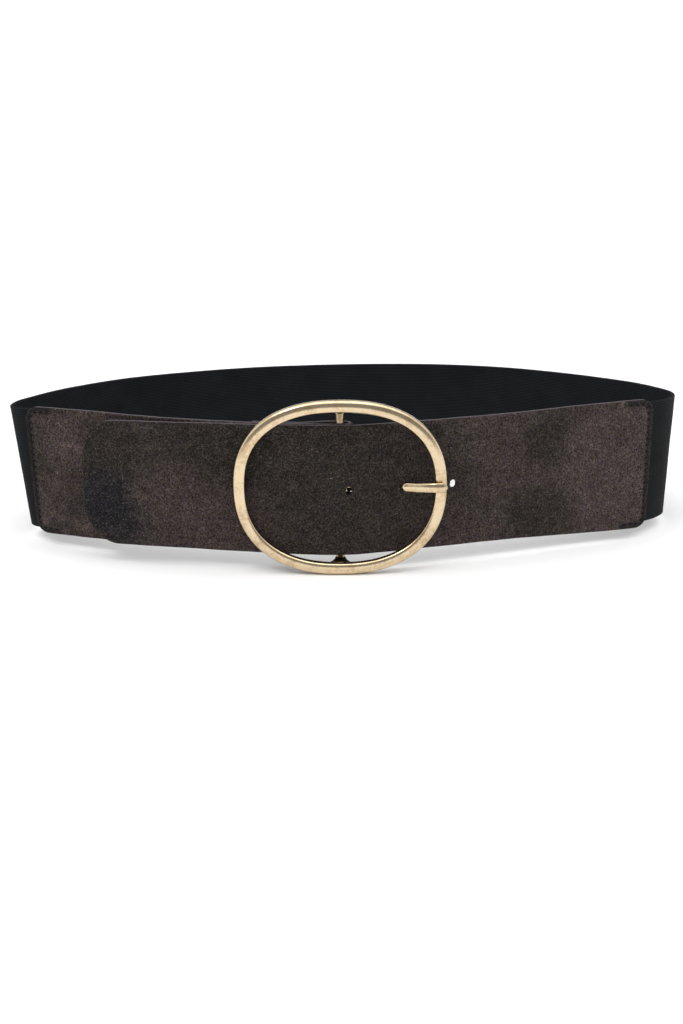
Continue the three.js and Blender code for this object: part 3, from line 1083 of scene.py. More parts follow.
@dataclass
class SuedePanel:
    """What both panels share: their wall, their eased edges and the relief of their face."""

    plan: BeltPlan
    cell: float = 1.25 * MM
    fine_cell: float = 0.42 * MM
    fine_reach: float = 4.2 * MM
    corner_turns: int = 14
    outer_round: float = 0.5 * MM
    inner_round: float = 0.25 * MM
    calm_edge: float = 2 * MM
    stitch_inset: float = 2.3 * MM
    stitch_return: float = 15 * MM
    stitch_fade: float = 1.5 * MM
    groove_depth: float = 0.7 * MM
    groove_half_width: float = 0.55 * MM
    # Share of painted shade on the strip outside the stitch line.
    strip_shade: float = 0.56
    ripple: float = 0.10 * MM
    ripple_size: float = 17 * MM
    edge_ripple: float = 0.12 * MM
    edge_ripple_size: float = 11 * MM
    sag_low: float = 1.15 * MM
    sag_high: float = 0.7 * MM
    sag_reach: float = 52 * MM

    def sag(self, from_buckle: float) -> float:
        """Give how far the edges hang at a distance from the buckle, from 0 to 1."""
        return math.exp(-((from_buckle / self.sag_reach) ** 2))

    def rows(self, width: float) -> list[float]:
        """Divide the panel's height, fine near both edges and at the holes."""
        middle = (self.plan.hole_height - self.plan.middle) / width + 0.5
        fine = self.fine_cell / width
        spots = (0.0, middle, 1.0)
        return graded(0, 1, self.cell / width, fine, spots, self.fine_reach / width)

    def from_seam(self, along: float) -> float:
        """Give the distance from the panel's seam end."""
        raise NotImplementedError

    def seam_share(self, along: float) -> float:
        """Give 1 near the seam end, where the stitch line runs, and 0 elsewhere."""
        return clamp((self.stitch_return - self.from_seam(along)) / self.stitch_fade)

    def groove(self, flat: Vector, from_rim: float) -> float:
        """Give how far a flat point lies in the stitch line's groove, from 0 to 1."""
        off = (from_rim - self.stitch_inset) / self.groove_half_width
        return self.seam_share(flat.x) * math.exp(-off * off)

    def seam_shade_and_dirt(self, flat: Vector, from_rim: float) -> float:
        """Give how much painted shade lies in the stitch line's groove, with some dirt, and on the
        strip outside it, from 0 to 1.
        """
        outside = clamp((self.stitch_inset - from_rim) / self.groove_half_width)
        strip = self.seam_share(flat.x) * self.strip_shade * outside
        return max(self.groove(flat, from_rim), strip)

    def uneven(self, along: float, up: float, seed: float) -> float:
        """Give the face's soft unevenness."""
        point = Vector((along / self.ripple_size, up / self.ripple_size, seed))
        return self.ripple * noise.noise(point)

    def dressed(
        self, flat: Vector, share: float, from_rim: float, seed: float, free: float
    ) -> Vector:
        """Leave a panel's face a little uneven and pull its stitch line in.

        Args:
            flat: A point of the flat wall.
            share: Its share through the wall, from the inner to the outer face.
            from_rim: Its distance to the rim.
            seed: Sets this panel's unevenness apart.
            free: How far the face is free to be uneven there.

        Returns:
            The moved point.
        """
        near_face = share**4
        calm = clamp(from_rim / self.calm_edge) * free
        flat.y += near_face * self.uneven(flat.x, flat.z, seed) * calm
        flat.y -= near_face * self.groove_depth * self.groove(flat, from_rim)
        return flat

    def wander(self, along: float, seed: float) -> float:
        """Give how far a cut edge wanders at a distance along the belt."""
        point = Vector((along / self.edge_ripple_size, seed, 0.5))
        return self.edge_ripple * noise.noise(point)


@dataclass
class StrapPanel(SuedePanel):
    """The right panel: from its seam on the elastic to the strap's free tip.

    Args:
        hole_cell: Step of the grid close to the holes, within hole_near of them.
        hole_snap: Width of the cells round a hole, whose corners move onto its edge.
        hole_pinch: How much each side of an open hole is drawn in.
        prong_lead: How far past its hole's middle the prong comes out.
        prong_lift: How far above the hole's middle it comes out.
        prong_ease: Room before and behind it.
        prong_room: Room above and below it.
        sag_lead: How far before the bar the edges hang lowest.
    """

    hole_cell: float = 0.5 * MM
    hole_near: float = 3.2 * MM
    hole_snap: float = 1.0 * MM
    hole_pinch: float = 0.5 * MM
    prong_lead: float = 1.05 * MM
    prong_lift: float = 0.4 * MM
    prong_ease: float = 0.25 * MM
    prong_room: float = 0.03 * MM
    sag_lead: float = 6 * MM

    def from_seam(self, along: float) -> float:
        """Give the distance from the strap's seam end."""
        return self.plan.right_end_at - along

    def edges(self, along: float) -> tuple[float, float]:
        """Give the strap's lower and upper edge at a distance along the belt."""
        s, p = self.plan.sizes, self.plan
        widening = smoothstep(1 - (p.right_end_at - along) / s.widening_length)
        narrowing = smoothstep((p.buckle_at - along) / s.tip_reach)
        free = lerp(s.strap_width, s.tip_width, narrowing)
        half = lerp(free, s.right_end_width, widening) / 2
        from_tip = along - p.tip_at
        seam_drop = corner_drop(p.right_end_at - along, s.end_corner, s.end_corner)
        low = p.middle - half + corner_drop(from_tip, s.tip_length, s.tip_bottom_round) + seam_drop
        high = p.middle + half - corner_drop(from_tip, s.tip_length, s.tip_top_round) - seam_drop
        sag = self.sag(along - p.buckle_at + self.sag_lead)
        low += self.wander(along, 1.0) - sag * self.sag_low
        return low, high + self.wander(along, 2.0) - sag * self.sag_high

    def columns(self) -> list[float]:
        """Divide the strap's length, fine at its ends and holes."""
        s, p = self.plan.sizes, self.plan
        start = p.tip_at + s.tip_length
        end = p.right_end_at - s.end_corner
        spots = [p.hole_at(i) for i in range(s.holes)] + [start, end]
        tip = [p.tip_at + d for d in corner_steps(s.tip_length, self.corner_turns)]
        seam = [p.right_end_at - d for d in reversed(corner_steps(s.end_corner, self.corner_turns))]
        return tip + graded(start, end, self.cell, self.hole_cell, spots, self.hole_near) + seam

    def prong_opening(self) -> Opening:
        """Give the hole that the prong fills: drawn close round it."""
        s, p = self.plan.sizes, self.plan
        half_length = s.prong_thickness / 2 + self.prong_ease
        half_height = PRONG_WAIST * PRONG_FULLNESS * s.prong_width / 2 + self.prong_room
        along = p.hole_at(s.prong_hole) + self.prong_lead
        up = p.hole_height + self.prong_lift
        return Opening(along, up, half_length, half_height, 0.9 * half_length)

    def build(self, finishes: Sequence[bpy.types.Material]) -> bpy.types.Object:
        """Make the strap in place of its solid.

        Args:
            finishes: The suede, its cut edge and its backing.

        Returns:
            The strap's object.
        """
        s, p = self.plan.sizes, self.plan
        sheet = Sheet(self.columns(), self.rows(s.strap_width), self.edges)
        for i in range(s.holes):
            radius = s.hole_diameter / 2
            narrow = radius - self.hole_pinch
            opening = Opening(p.hole_at(i), p.hole_height, narrow, radius, narrow)
            if i == s.prong_hole:
                opening = self.prong_opening()
            sheet.pierce(opening, self.hole_snap)
        sheet.thicken(0, s.panel_thickness, self.outer_round, self.inner_round)

        def relief(flat: Vector, share: float, from_rim: float) -> Vector:
            """Dress the strap's face, which is free all along."""
            return self.dressed(flat, share, from_rim, 3.0, 1.0)

        sheet.mark(SEAM_SHADE_MARK, self.seam_shade_and_dirt)
        sheet.shape(relief, 0)
        sheet.bend(p.loop, p.to_frame)
        strap = finished("suede_strap", sheet.work, finishes)
        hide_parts("strap_panel")
        return strap


@dataclass
class BucklePanel(SuedePanel):
    """The left panel: from its seam on the elastic, round the bar and back behind itself.

    Args:
        fold_reach: How far from the fold's middle the grid stays fine.
        fold_calm: How far from it the face stays even, and over how much it then frees itself.
        slot_round: Radius of the corners of the slot for the prong's eye.
        slot_snap: Width of the cells round the slot, whose corners move onto its edge.
        turn_back_along: Shares of the turned-back end where turn_back_open is given.
        turn_back_open: How far it stands off there, as a share of the opening round the bar.
    """

    stitch_return: float = 14 * MM
    fold_reach: float = 8 * MM
    fold_calm: float = 20 * MM
    slot_round: float = 0.8 * MM
    slot_snap: float = 0.9 * MM
    turn_back_along: tuple[float, ...] = (0, 0.15, 0.32, 0.48, 1)
    turn_back_open: tuple[float, ...] = (1, 0.93, 0.4, 0, 0)

    def gap_share(self, share: float) -> float:
        """Give how far the turned-back end stands off, as a share of the opening round the bar."""
        i = max(1, bisect.bisect_left(self.turn_back_along, share))
        start, end = self.turn_back_along[i - 1 : i + 1]
        ease = smoothstep((share - start) / (end - start))
        return lerp(self.turn_back_open[i - 1], self.turn_back_open[i], ease)

    def route(self) -> Route:
        """Lay the panel's route: its front layer, the turn round the bar and the way back."""
        s, p = self.plan.sizes, self.plan
        opening = 2 * (s.layer_gap + p.bar_radius)
        points = []
        front_steps, turn_steps, back_steps = 260, 32, 60
        for i in range(front_steps + 1):
            place = p.loop.at(lerp(p.left_end_at, p.bar_at, i / front_steps))
            points.append(Vector((place.x, place.y, place.lean)))
        for i in range(turn_steps + 1):
            angle = -math.pi / 2 + math.pi * i / turn_steps
            points.append(Vector((
                s.fold_nose + math.cos(angle) * opening / 2,
                p.bar_y + math.sin(angle) * opening / 2,
                0,
            )))
        for i in range(back_steps + 1):
            share = i / back_steps
            out = lerp(s.layer_gap, opening, self.gap_share(share))
            place = p.loop.at(p.bar_at - share * s.turn_back_length)
            points.append(Vector((place.x - place.out_x * out, place.y - place.out_y * out, 0)))
        return Route(points, s.elastic_width)

    def from_seam(self, along: float) -> float:
        """Give the distance from the panel's seam end, where its sheet starts."""
        return along

    def edges(self, along: float) -> tuple[float, float]:
        """Give the panel's lower and upper edge at a distance from its seam end."""
        s, p = self.plan.sizes, self.plan
        half = lerp(s.strap_width, s.left_end_width, smoothstep(1 - along / s.widening_length)) / 2
        drop = corner_drop(along, s.end_corner, s.end_corner)
        sag = self.sag(along - s.left_reach)
        low = p.middle - half + drop + self.wander(along, 5.0) - sag * self.sag_low
        high = p.middle + half - drop + self.wander(along, 6.0) - sag * self.sag_high
        return low, high

    def build(self, finishes: Sequence[bpy.types.Material]) -> bpy.types.Object:
        """Make the panel in place of its solid.

        Args:
            finishes: The suede, its cut edge and its backing.

        Returns:
            The panel's object.
        """
        s, p = self.plan.sizes, self.plan
        route = self.route()
        slot_edge = -(p.bar_radius + 2 * s.layer_gap + s.prong_eye)
        slot_from = route.distance_where(lambda point: point.x > slot_edge)
        slot_to = next(
            route.lengths[i]
            for i in range(len(route.points) - 1, 0, -1)
            if route.points[i].x > slot_edge
        )
        fold = (slot_from + slot_to) / 2
        spots = [s.end_corner, fold - self.fold_reach, fold, fold + self.fold_reach, route.length]
        corner = corner_steps(s.end_corner, self.corner_turns)
        middle = graded(
            s.end_corner, route.length, self.cell, self.fine_cell, spots, self.fine_reach
        )
        sheet = Sheet(corner + middle, self.rows(s.strap_width), self.edges)
        slot = Opening(
            fold,
            p.hole_height,
            (slot_to - slot_from) / 2,
            EYE_SHOWN * s.prong_eye_height / 2 + s.layer_gap / 2,
            self.slot_round,
        )
        sheet.pierce(slot, self.slot_snap)
        sheet.thicken(0, s.panel_thickness, self.outer_round, self.inner_round)

        def relief(flat: Vector, share: float, from_rim: float) -> Vector:
            """Dress the panel's face, which is held even near the bar."""
            free = clamp((fold - self.fold_calm - flat.x) / self.fold_calm)
            return self.dressed(flat, share, from_rim, 8.0, free)

        sheet.mark(SEAM_SHADE_MARK, self.seam_shade_and_dirt)
        sheet.shape(relief, 0)
        sheet.bend(route, p.to_frame)
        panel = finished("suede_buckle_panel", sheet.work, finishes)
        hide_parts("buckle_panel")
        return panel


@dataclass
class ElasticBand:
    """The wide elastic band with its lengthwise ribs.

    Args:
        plan: Where the band lies.
        ribs: Number of ribs over its width.
        rib_depth: Depth of the valleys between them.
        cell: Length of the sheet's cells.
        edge_round: Radius of its eased edges.
        flat_edge: Width along the edges over which the valleys come up to the face.
        wrinkle: Height of its soft wrinkles, which are wrinkle_length by wrinkle_height.
        wrinkle_fade: Length over which they grow from the panels on.
        wrinkle_middle: The noise's level at which the face stays where it is.
    """

    plan: BeltPlan
    ribs: int = 74
    rib_depth: float = 0.34 * MM
    cell: float = 1.9 * MM
    edge_round: float = 0.35 * MM
    wrinkle: float = 0.16 * MM
    wrinkle_length: float = 6 * MM
    wrinkle_height: float = 22 * MM
    wrinkle_fade: float = 6 * MM
    wrinkle_middle: float = 0.4
    flat_edge: float = 1.5 * MM

    def build(self, finish: bpy.types.Material) -> bpy.types.Object:
        """Make the band in place of its solid.

        Args:
            finish: The elastic's material.

        Returns:
            The band's object.
        """
        s, p = self.plan.sizes, self.plan
        start = p.right_end_at - s.seam_overlap
        end = p.left_end_at + s.seam_overlap
        inner = -s.layer_gap - s.elastic_thickness
        count = round((end - start) / self.cell)
        columns = [lerp(start, end, i / count) for i in range(count + 1)]
        rows = [i / (2 * self.ribs) for i in range(2 * self.ribs + 1)]
        sheet = Sheet(columns, rows, lambda along: (0.0, s.elastic_width))
        sheet.thicken(inner, s.elastic_thickness, self.edge_round, self.edge_round)

        def ribbed(flat: Vector, share: float, from_rim: float) -> Vector:
            """Sink the valleys between the ribs and let the band wrinkle where it is free."""
            row = round(flat.z / s.elastic_width * 2 * self.ribs)
            inside = clamp(from_rim / self.flat_edge)
            if row % 2 == 0 and share > 0.5:
                flat.y -= self.rib_depth * inside
            from_panels = min(flat.x - p.right_end_at, p.left_end_at - flat.x)
            free = clamp(from_panels / self.wrinkle_fade)
            fold = noise.noise(Vector((
                flat.x / self.wrinkle_length, flat.z / self.wrinkle_height, 11.0
            )))
            flat.y += self.wrinkle * (fold - self.wrinkle_middle) * free
            return flat

        sheet.shape(ribbed, inner)
        sheet.bend(p.loop, p.to_frame)
        band = finished("ribbed_elastic_band", sheet.work, [finish])
        for polygon in band.data.polygons:
            polygon.material_index = 0
        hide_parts("elastic_band")
        return band


@dataclass
class RingBuckle:
    """The oval ring, its crowned rim, and the bar with its flared feet."""

    plan: BeltPlan
    turns: int = 256
    round_steps: int = 6
    crest_out: float = 0.0 * MM
    crest_round: float = 0.55 * MM
    shoulder_depth: float = 2.85 * MM
    shoulder_round: float = 1.3 * MM
    facet_out: float = -1.1 * MM
    facet_round: float = 0.5 * MM
    facet_fall: float = 0.45 * MM
    inner_edge_round: float = 1.0 * MM
    inward: float = 0.45 * MM
    fuller: float = 0.3 * MM
    power: float = 2.32
    bar_fullness: float = 1.12
    bar_from: float = 0.2 * MM
    bar_to: float = 2.4 * MM
    bar_round: float = 0.5 * MM
    foot_narrow: float = 4.8 * MM
    low_foot_sunk: float = 1.0 * MM

    def section(self, work: bmesh.types.BMesh, carrier: float) -> None:
        """Draw the rim's section and soften its corners.

        Args:
            work: The empty mesh that it is drawn in.
            carrier: Distance of the section from the spinning axis.
        """
        s = self.plan.sizes
        half = s.rim_width / 2
        outline = (
            (half, 0, s.rim_back_round),
            (-half - self.inward, 0, s.rim_back_round),
            (-half - self.inward, -s.rim_depth + self.facet_fall, self.inner_edge_round),
            (self.facet_out, -s.rim_depth, self.facet_round),
            (self.crest_out, -s.rim_depth, self.crest_round),
            (half, -self.shoulder_depth, self.shoulder_round),
        )
        corners = [work.verts.new((carrier + out, depth, 0)) for out, depth, _ in outline]
        work.faces.new(corners)
        for corner, (_, _, rounding) in zip(corners, outline):
            bmesh.ops.bevel(
                work,
                geom=[corner],
                offset=rounding,
                offset_type="OFFSET",
                segments=self.round_steps,
                profile=0.5,
                affect="VERTICES",
                clamp_overlap=True,
                material=-1,
            )
        bmesh.ops.delete(work, geom=work.faces[:], context="FACES_ONLY")

    def rim(self, work: bmesh.types.BMesh) -> None:
        """Carry the section round the rounded oval and arch it to follow the strap.

        Args:
            work: The empty mesh that the rim is made in.
        """
        s, p = self.plan.sizes, self.plan
        carrier = s.ring_width
        self.section(work, carrier)
        bmesh.ops.spin(
            work,
            geom=work.verts[:] + work.edges[:],
            cent=(0, 0, 0),
            axis=(0, 1, 0),
            angle=2 * math.pi,
            steps=self.turns,
            use_merge=True,
        )
        half_across = (s.ring_width - s.rim_width) / 2 + self.fuller
        half_up = (s.ring_height - s.rim_width) / 2
        bend = 2 / self.power
        for vert in work.verts:
            radius = math.hypot(vert.co.x, vert.co.z)
            across, up = vert.co.x / radius, vert.co.z / radius
            x = half_across * math.copysign(abs(across) ** bend, across)
            z = half_up * math.copysign(abs(up) ** bend, up)
            facing = Vector((
                math.copysign(abs(x / half_across) ** (self.power - 1), x) / half_across,
                math.copysign(abs(z / half_up) ** (self.power - 1), z) / half_up,
            )).normalized()
            x += facing.x * (radius - carrier)
            z += facing.y * (radius - carrier)
            arch = s.ring_arch * (x / (s.ring_width / 2)) ** 2
            vert.co = Vector((x, p.ring_back + vert.co.y + arch, p.ring_middle + z))

    def bar(self, work: bmesh.types.BMesh) -> None:
        """Add the bar that the panel turns round, with eased ends short of the rim.

        Args:
            work: The mesh that it is added to.
        """
        s, p = self.plan.sizes, self.plan
        rim_inner = s.ring_height / 2 - s.rim_width
        low = p.ring_middle - rim_inner + self.bar_from
        high = p.ring_middle + rim_inner - self.bar_to
        made = bmesh.ops.create_cone(
            work,
            cap_ends=True,
            segments=32,
            radius1=p.bar_radius * self.bar_fullness,
            radius2=p.bar_radius * self.bar_fullness,
            depth=high - low,
            matrix=Matrix.Translation((0, p.bar_y, (low + high) / 2)),
        )
        edges = {edge for vert in made["verts"] for edge in vert.link_edges}
        rims = {e for e in edges if abs(e.verts[0].co.z - e.verts[1].co.z) < MM}
        bmesh.ops.bevel(
            work,
            geom=list(rims),
            offset=self.bar_round,
            offset_type="OFFSET",
            segments=3,
            profile=0.5,
            affect="EDGES",
            clamp_overlap=True,
            material=-1,
        )

    def foot(self, work: bmesh.types.BMesh, side: int) -> None:
        """Add a flared foot that joins the bar to the rim, dark with painted shade.

        Args:
            work: The mesh that it is added to.
            side: 1 for the upper foot, -1 for the lower one.
        """
        s, p = self.plan.sizes, self.plan
        rim_inner = s.ring_height / 2 - s.rim_width
        at_bar = p.bar_y - p.bar_radius * 0.4
        at_ring = p.ring_back - s.rim_depth / 4
        wide, narrow = s.foot_width / 2, self.foot_narrow / 2
        levels = (
            (rim_inner + 1.6 * MM, wide, at_ring, 2.2 * MM),
            (rim_inner + 0.7 * MM, wide * 0.98, at_ring, 3.0 * MM),
            (rim_inner + 0.3 * MM, wide * 0.86, lerp(at_ring, at_bar, 0.25), 3.2 * MM),
            (rim_inner, wide * 0.66, lerp(at_ring, at_bar, 0.5), 2.8 * MM),
            (rim_inner - 0.4 * MM, lerp(narrow, wide, 0.12), lerp(at_ring, at_bar, 0.75), 2.4 * MM),
            (rim_inner - 0.9 * MM, narrow, lerp(at_ring, at_bar, 0.95), 2.0 * MM),
            (rim_inner - 1.5 * MM, narrow * 0.9, at_bar + 0.2 * MM, 1.8 * MM),
        )
        before = set(work.faces)
        ring = bmesh.ops.create_circle(work, cap_ends=True, segments=28, radius=1)["verts"]
        edges = list({edge for vert in ring for edge in vert.link_edges})
        reach, middle, depth = 1.0, 0.0, 1.0
        sunk = self.low_foot_sunk if side < 0 else 0.0
        for i, (up, half, front, thick) in enumerate(levels):
            up += sunk * i / (len(levels) - 1)
            if i:
                grown = bmesh.ops.extrude_edge_only(work, edges=edges)["geom"]
                ring = [item for item in grown if isinstance(item, bmesh.types.BMVert)]
                inside = set(ring)
                edges = list({e for v in ring for e in v.link_edges if e.other_vert(v) in inside})
            next_middle, next_depth = front + thick / 2, thick / 2
            for vert in ring:
                across = vert.co.x / reach * half
                inward = (vert.co.y - middle) / depth * next_depth + next_middle
                vert.co = Vector((across, inward, p.ring_middle + side * up))
            reach, middle, depth = half, next_middle, next_depth
        bmesh.ops.contextual_create(work, geom=edges)
        # The foot's faces take the second finish: dark metal painted in for the shade that the feet lie
        # in.
        for face in work.faces:
            if face not in before:
                face.material_index = 1

    def build(self, finish: bpy.types.Material, foot_shade: bpy.types.Material) -> bpy.types.Object:
        """Make the ring in place of its solid.

        Args:
            finish: The gold plate.
            foot_shade: The dark finish of its feet, painted shade.

        Returns:
            The ring's object.
        """
        work = bmesh.new()
        self.rim(work)
        self.bar(work)
        self.foot(work, 1)
        self.foot(work, -1)
        bmesh.ops.transform(work, matrix=self.plan.to_frame, verts=work.verts[:])
        bmesh.ops.recalc_face_normals(work, faces=work.faces[:])
        ring = finished("gold_ring_buckle", work, [finish, foot_shade])
        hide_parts("buckle_frame")
        return ring


@dataclass
class Prong:
    """The prong: its eye round the bar, and its shank up through the hole and over the rim."""

    plan: BeltPlan
    sides: int = 28
    shank_steps: int = 96
    tip_steps: int = 10
    eye_turns: int = 48
    squareness: float = 4.6
    ridge: float = 0.5
    waist_reach: float = 3.4 * MM
    waist_lead: float = 0.3 * MM
    tip_length: float = 2.0 * MM
    tip_blunt: float = 0.3
    tip_short: float = 0.4 * MM
    lift: float = 0.45 * MM
    past: tuple[float, ...] = (-3.4, -0.65, 0.35, 0.65, 1.6)
    off: tuple[float, ...] = (-1.35, -1.0, -0.2, 0.62, 1.0)

    def route(self) -> Route:
        """Lay the shank's middle line in plan."""
        s, p = self.plan.sizes, self.plan
        wall = s.panel_thickness / 2
        clear = wall + s.layer_gap + s.prong_thickness / 2
        start = p.bar_radius + s.layer_gap + s.prong_eye / 2
        points = [Vector((start, p.bar_y, 0)), Vector((start + s.prong_thickness, p.bar_y, 0))]
        for past, off in zip(self.past, self.off):
            place = p.loop.at(p.hole_at(s.prong_hole) + past * s.prong_thickness / 2)
            out = wall + off * clear
            points.append(Vector((place.x + place.out_x * out, place.y + place.out_y * out, 0)))
        rim_x = (s.ring_width - s.rim_width) / 2
        rim_y = p.ring_back - s.rim_depth + s.ring_arch * (rim_x / (s.ring_width / 2)) ** 2
        rest_y = rim_y - s.layer_gap - s.prong_thickness / 2
        points.append(Vector((rim_x - s.rim_width * 0.6, rest_y, 0)))
        points.append(Vector((s.ring_width / 2 + s.prong_past_rim - self.tip_short, rest_y, 0)))
        return Route(smooth_line(points, 240), s.elastic_width)

    def shank(self, work: bmesh.types.BMesh) -> None:
        """Add the shank, from the eye to its rounded tip.

        Args:
            work: The mesh that it is added to.
        """
        s, p = self.plan.sizes, self.plan
        route = self.route()
        hole_x = p.loop.at(p.hole_at(s.prong_hole)).x
        rim_x = (s.ring_width - s.rim_width) / 2
        dome = self.tip_length
        straight = [lerp(0, route.length - dome, i / self.shank_steps) for i in range(self.shank_steps)]
        rounded = [
            route.length - dome * (1 - math.sin(math.pi / 2 * i / self.tip_steps))
            for i in range(self.tip_steps + 1)
        ]
        stations = straight + rounded
        rod = bmesh.new()
        bmesh.ops.create_cone(
            rod, cap_ends=True, segments=self.sides, radius1=1, radius2=1, depth=1
        )
        lengthwise = [e for e in rod.edges if abs(e.verts[0].co.z - e.verts[1].co.z) > 0.5]
        bmesh.ops.subdivide_edges(rod, edges=lengthwise, cuts=len(stations) - 2)
        bend = 2 / self.squareness
        for vert in rod.verts:
            distance = stations[round((vert.co.z + 0.5) * (len(stations) - 1))]
            place = route.at(distance)
            left = (route.length - distance) / dome
            girth = lerp(self.tip_blunt, 1, left**0.8) if left < 1 else 1
            rise = smoothstep((place.x - hole_x) / (rim_x - hole_x))
            from_hole = abs(place.x - hole_x + self.waist_lead) / self.waist_reach
            waist = lerp(PRONG_WAIST, 1, smoothstep(from_hole))
            thick = math.copysign(abs(vert.co.x) ** bend, vert.co.x)
            wide = math.copysign(abs(vert.co.y) ** bend, vert.co.y)
            ridged = math.copysign(1 - abs(wide), vert.co.x) if abs(vert.co.x) > 0.01 else 0
            out = lerp(thick, ridged, self.ridge) * girth * s.prong_thickness / 2
            vert.co = Vector((
                place.x + place.out_x * out,
                place.y + place.out_y * out,
                lerp(p.hole_height, p.ring_middle, rise) + self.lift
                + wide * girth * waist * PRONG_FULLNESS * s.prong_width / 2,
            ))
        part = bpy.data.meshes.new("shank")
        rod.to_mesh(part)
        rod.free()
        work.from_mesh(part)
        bpy.data.meshes.remove(part)

    def eye(self, work: bmesh.types.BMesh) -> None:
        """Add the eye that turns round the bar.

        Args:
            work: The empty mesh that it is made in.
        """
        s, p = self.plan.sizes, self.plan
        bore = p.bar_radius + s.layer_gap
        half = EYE_SHOWN * s.prong_eye_height / 2
        outline = ((bore, -half), (bore + s.prong_eye, -half), (bore + s.prong_eye, half), (bore, half))
        corners = [work.verts.new((out, 0, up)) for out, up in outline]
        work.faces.new(corners)
        bmesh.ops.bevel(
            work,
            geom=corners,
            offset=0.4 * MM,
            offset_type="OFFSET",
            segments=3,
            profile=0.5,
            affect="VERTICES",
            clamp_overlap=True,
            material=-1,
        )
        bmesh.ops.delete(work, geom=work.faces[:], context="FACES_ONLY")
        bmesh.ops.spin(
            work,
            geom=work.verts[:] + work.edges[:],
            axis=(0, 0, 1),
            angle=2 * math.pi,
            steps=self.eye_turns,
            use_merge=True,
        )
        bmesh.ops.translate(work, vec=(0, p.bar_y, p.hole_height), verts=work.verts[:])

    def build(self, finish: bpy.types.Material) -> bpy.types.Object:
        """Make the prong in place of its solid.

        Args:
            finish: The gold plate.

        Returns:
            The prong's object.
        """
        work = bmesh.new()
        self.eye(work)
        self.shank(work)
        bmesh.ops.transform(work, matrix=self.plan.to_frame, verts=work.verts[:])
        bmesh.ops.recalc_face_normals(work, faces=work.faces[:])
        prong = finished("gold_prong", work, [finish])
        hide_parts("prong")
        return prong


@dataclass
class Stitching:
    """Rows of stitches, each stitch a short capsule that lies in the seam's groove."""

    plan: BeltPlan
    pitch: float = 3.1 * MM
    stitch_length: float = 2.5 * MM
    thread_radius: float = 0.3 * MM

    def bracket(self, end: float, inward: int, low: float, high: float, inset: float,
                back: float) -> list[Vector]:
        """Lay the line of stitches that frames a panel's end on three sides.

        Args:
            end: Where the panel ends along the belt.
            inward: 1 where the panel goes on towards greater distances, otherwise -1.
            low: The panel's lower edge there.
            high: The panel's upper edge there.
            inset: Distance of the line from the panel's edge.
            back: How far the line comes back along the upper and lower edge.

        Returns:
            Points of the line in the sheet's plane, along and up.
        """
        corner = self.plan.sizes.end_corner
        turn = corner - inset
        line = [Vector((end + inward * back, high - inset))]
        for centre_up, first in ((high - corner, 90), (low + corner, 180)):
            for step in range(7):
                angle = math.radians(first + 15 * step)
                line.append(Vector((
                    end + inward * (corner + math.cos(angle) * turn),
                    centre_up + math.sin(angle) * turn,
                )))
        line.append(Vector((end + inward * back, low + inset)))
        return line

    def sew(self, work: bmesh.types.BMesh, line: Sequence[Vector], out: float) -> None:
        """Add stitches along a line.

        Args:
            work: The flat mesh that they are added to.
            line: Points of the line, along and up.
            out: Offset of the thread's middle from the route.
        """
        route = Route([Vector((point.x, point.y, 0)) for point in line], 1.0)
        count = round(route.length / self.pitch)
        for i in range(count):
            place = route.at((i + 0.5) * route.length / count)
            angle = math.atan2(place.out_x, -place.out_y)
            turn = Matrix.Rotation(-angle, 4, "Y")
            size = Matrix.Diagonal((self.stitch_length / 2, self.thread_radius, self.thread_radius, 1))
            bmesh.ops.create_uvsphere(
                work,
                u_segments=8,
                v_segments=8,
                radius=1,
                matrix=Matrix.Translation((place.x, out, place.y)) @ turn @ size,
            )

    def build(self, name: str, lines: Sequence[tuple[Sequence[Vector], float]], route: Route,
              finish: bpy.types.Material) -> bpy.types.Object:
        """Make one seam's stitches.

        Args:
            name: The piece's name.
            lines: The lines of stitches, each with the offset of its thread.
            route: The route of the sheet that they lie on.
            finish: The thread's material.

        Returns:
            The stitches' object.
        """
        work = bmesh.new()
        for line, out in lines:
            self.sew(work, line, out)
        bend_points(work, route, self.plan.to_frame)
        return finished(name, work, [finish])


@dataclass(frozen=True)
class PhotoCamera:
    """The photograph's camera, placed before the level belt."""

    focal_pixels: float = 1421.0
    picture_height: float = 1024.0
    sensor: float = 36.0
    stands_at: tuple[float, float, float] = (0.6 * MM, -617.9 * MM, 215.1 * MM)
    looks_down: float = 17.58
    rolls: float = -0.33

    def build(self, plan: BeltPlan) -> bpy.types.Object:
        """Place the camera and make it the scene's own.

        Args:
            plan: Gives how the belt stands.

        Returns:
            The camera.
        """
        lens = bpy.data.cameras.new("photo_camera")
        lens.sensor_width = self.sensor
        lens.lens = self.focal_pixels / self.picture_height * self.sensor
        lens.clip_start = 0.01
        camera = bpy.data.objects.new("photo_camera", lens)
        bpy.context.scene.collection.objects.link(camera)
        aim = Matrix.Rotation(math.radians(90 - self.looks_down), 4, "X")
        roll = Matrix.Rotation(math.radians(self.rolls), 4, "Z")
        camera.matrix_world = plan.to_frame @ Matrix.Translation(self.stands_at) @ aim @ roll
        bpy.context.scene.camera = camera
        return camera


@dataclass(frozen=True)
class SoftLight:
    """One soft light: its place, the side of its square, its power and its tint."""

    name: str
    place: tuple[float, float, float]
    side: float
    watts: float
    tint: tuple[float, float, float] = (1, 1, 1)


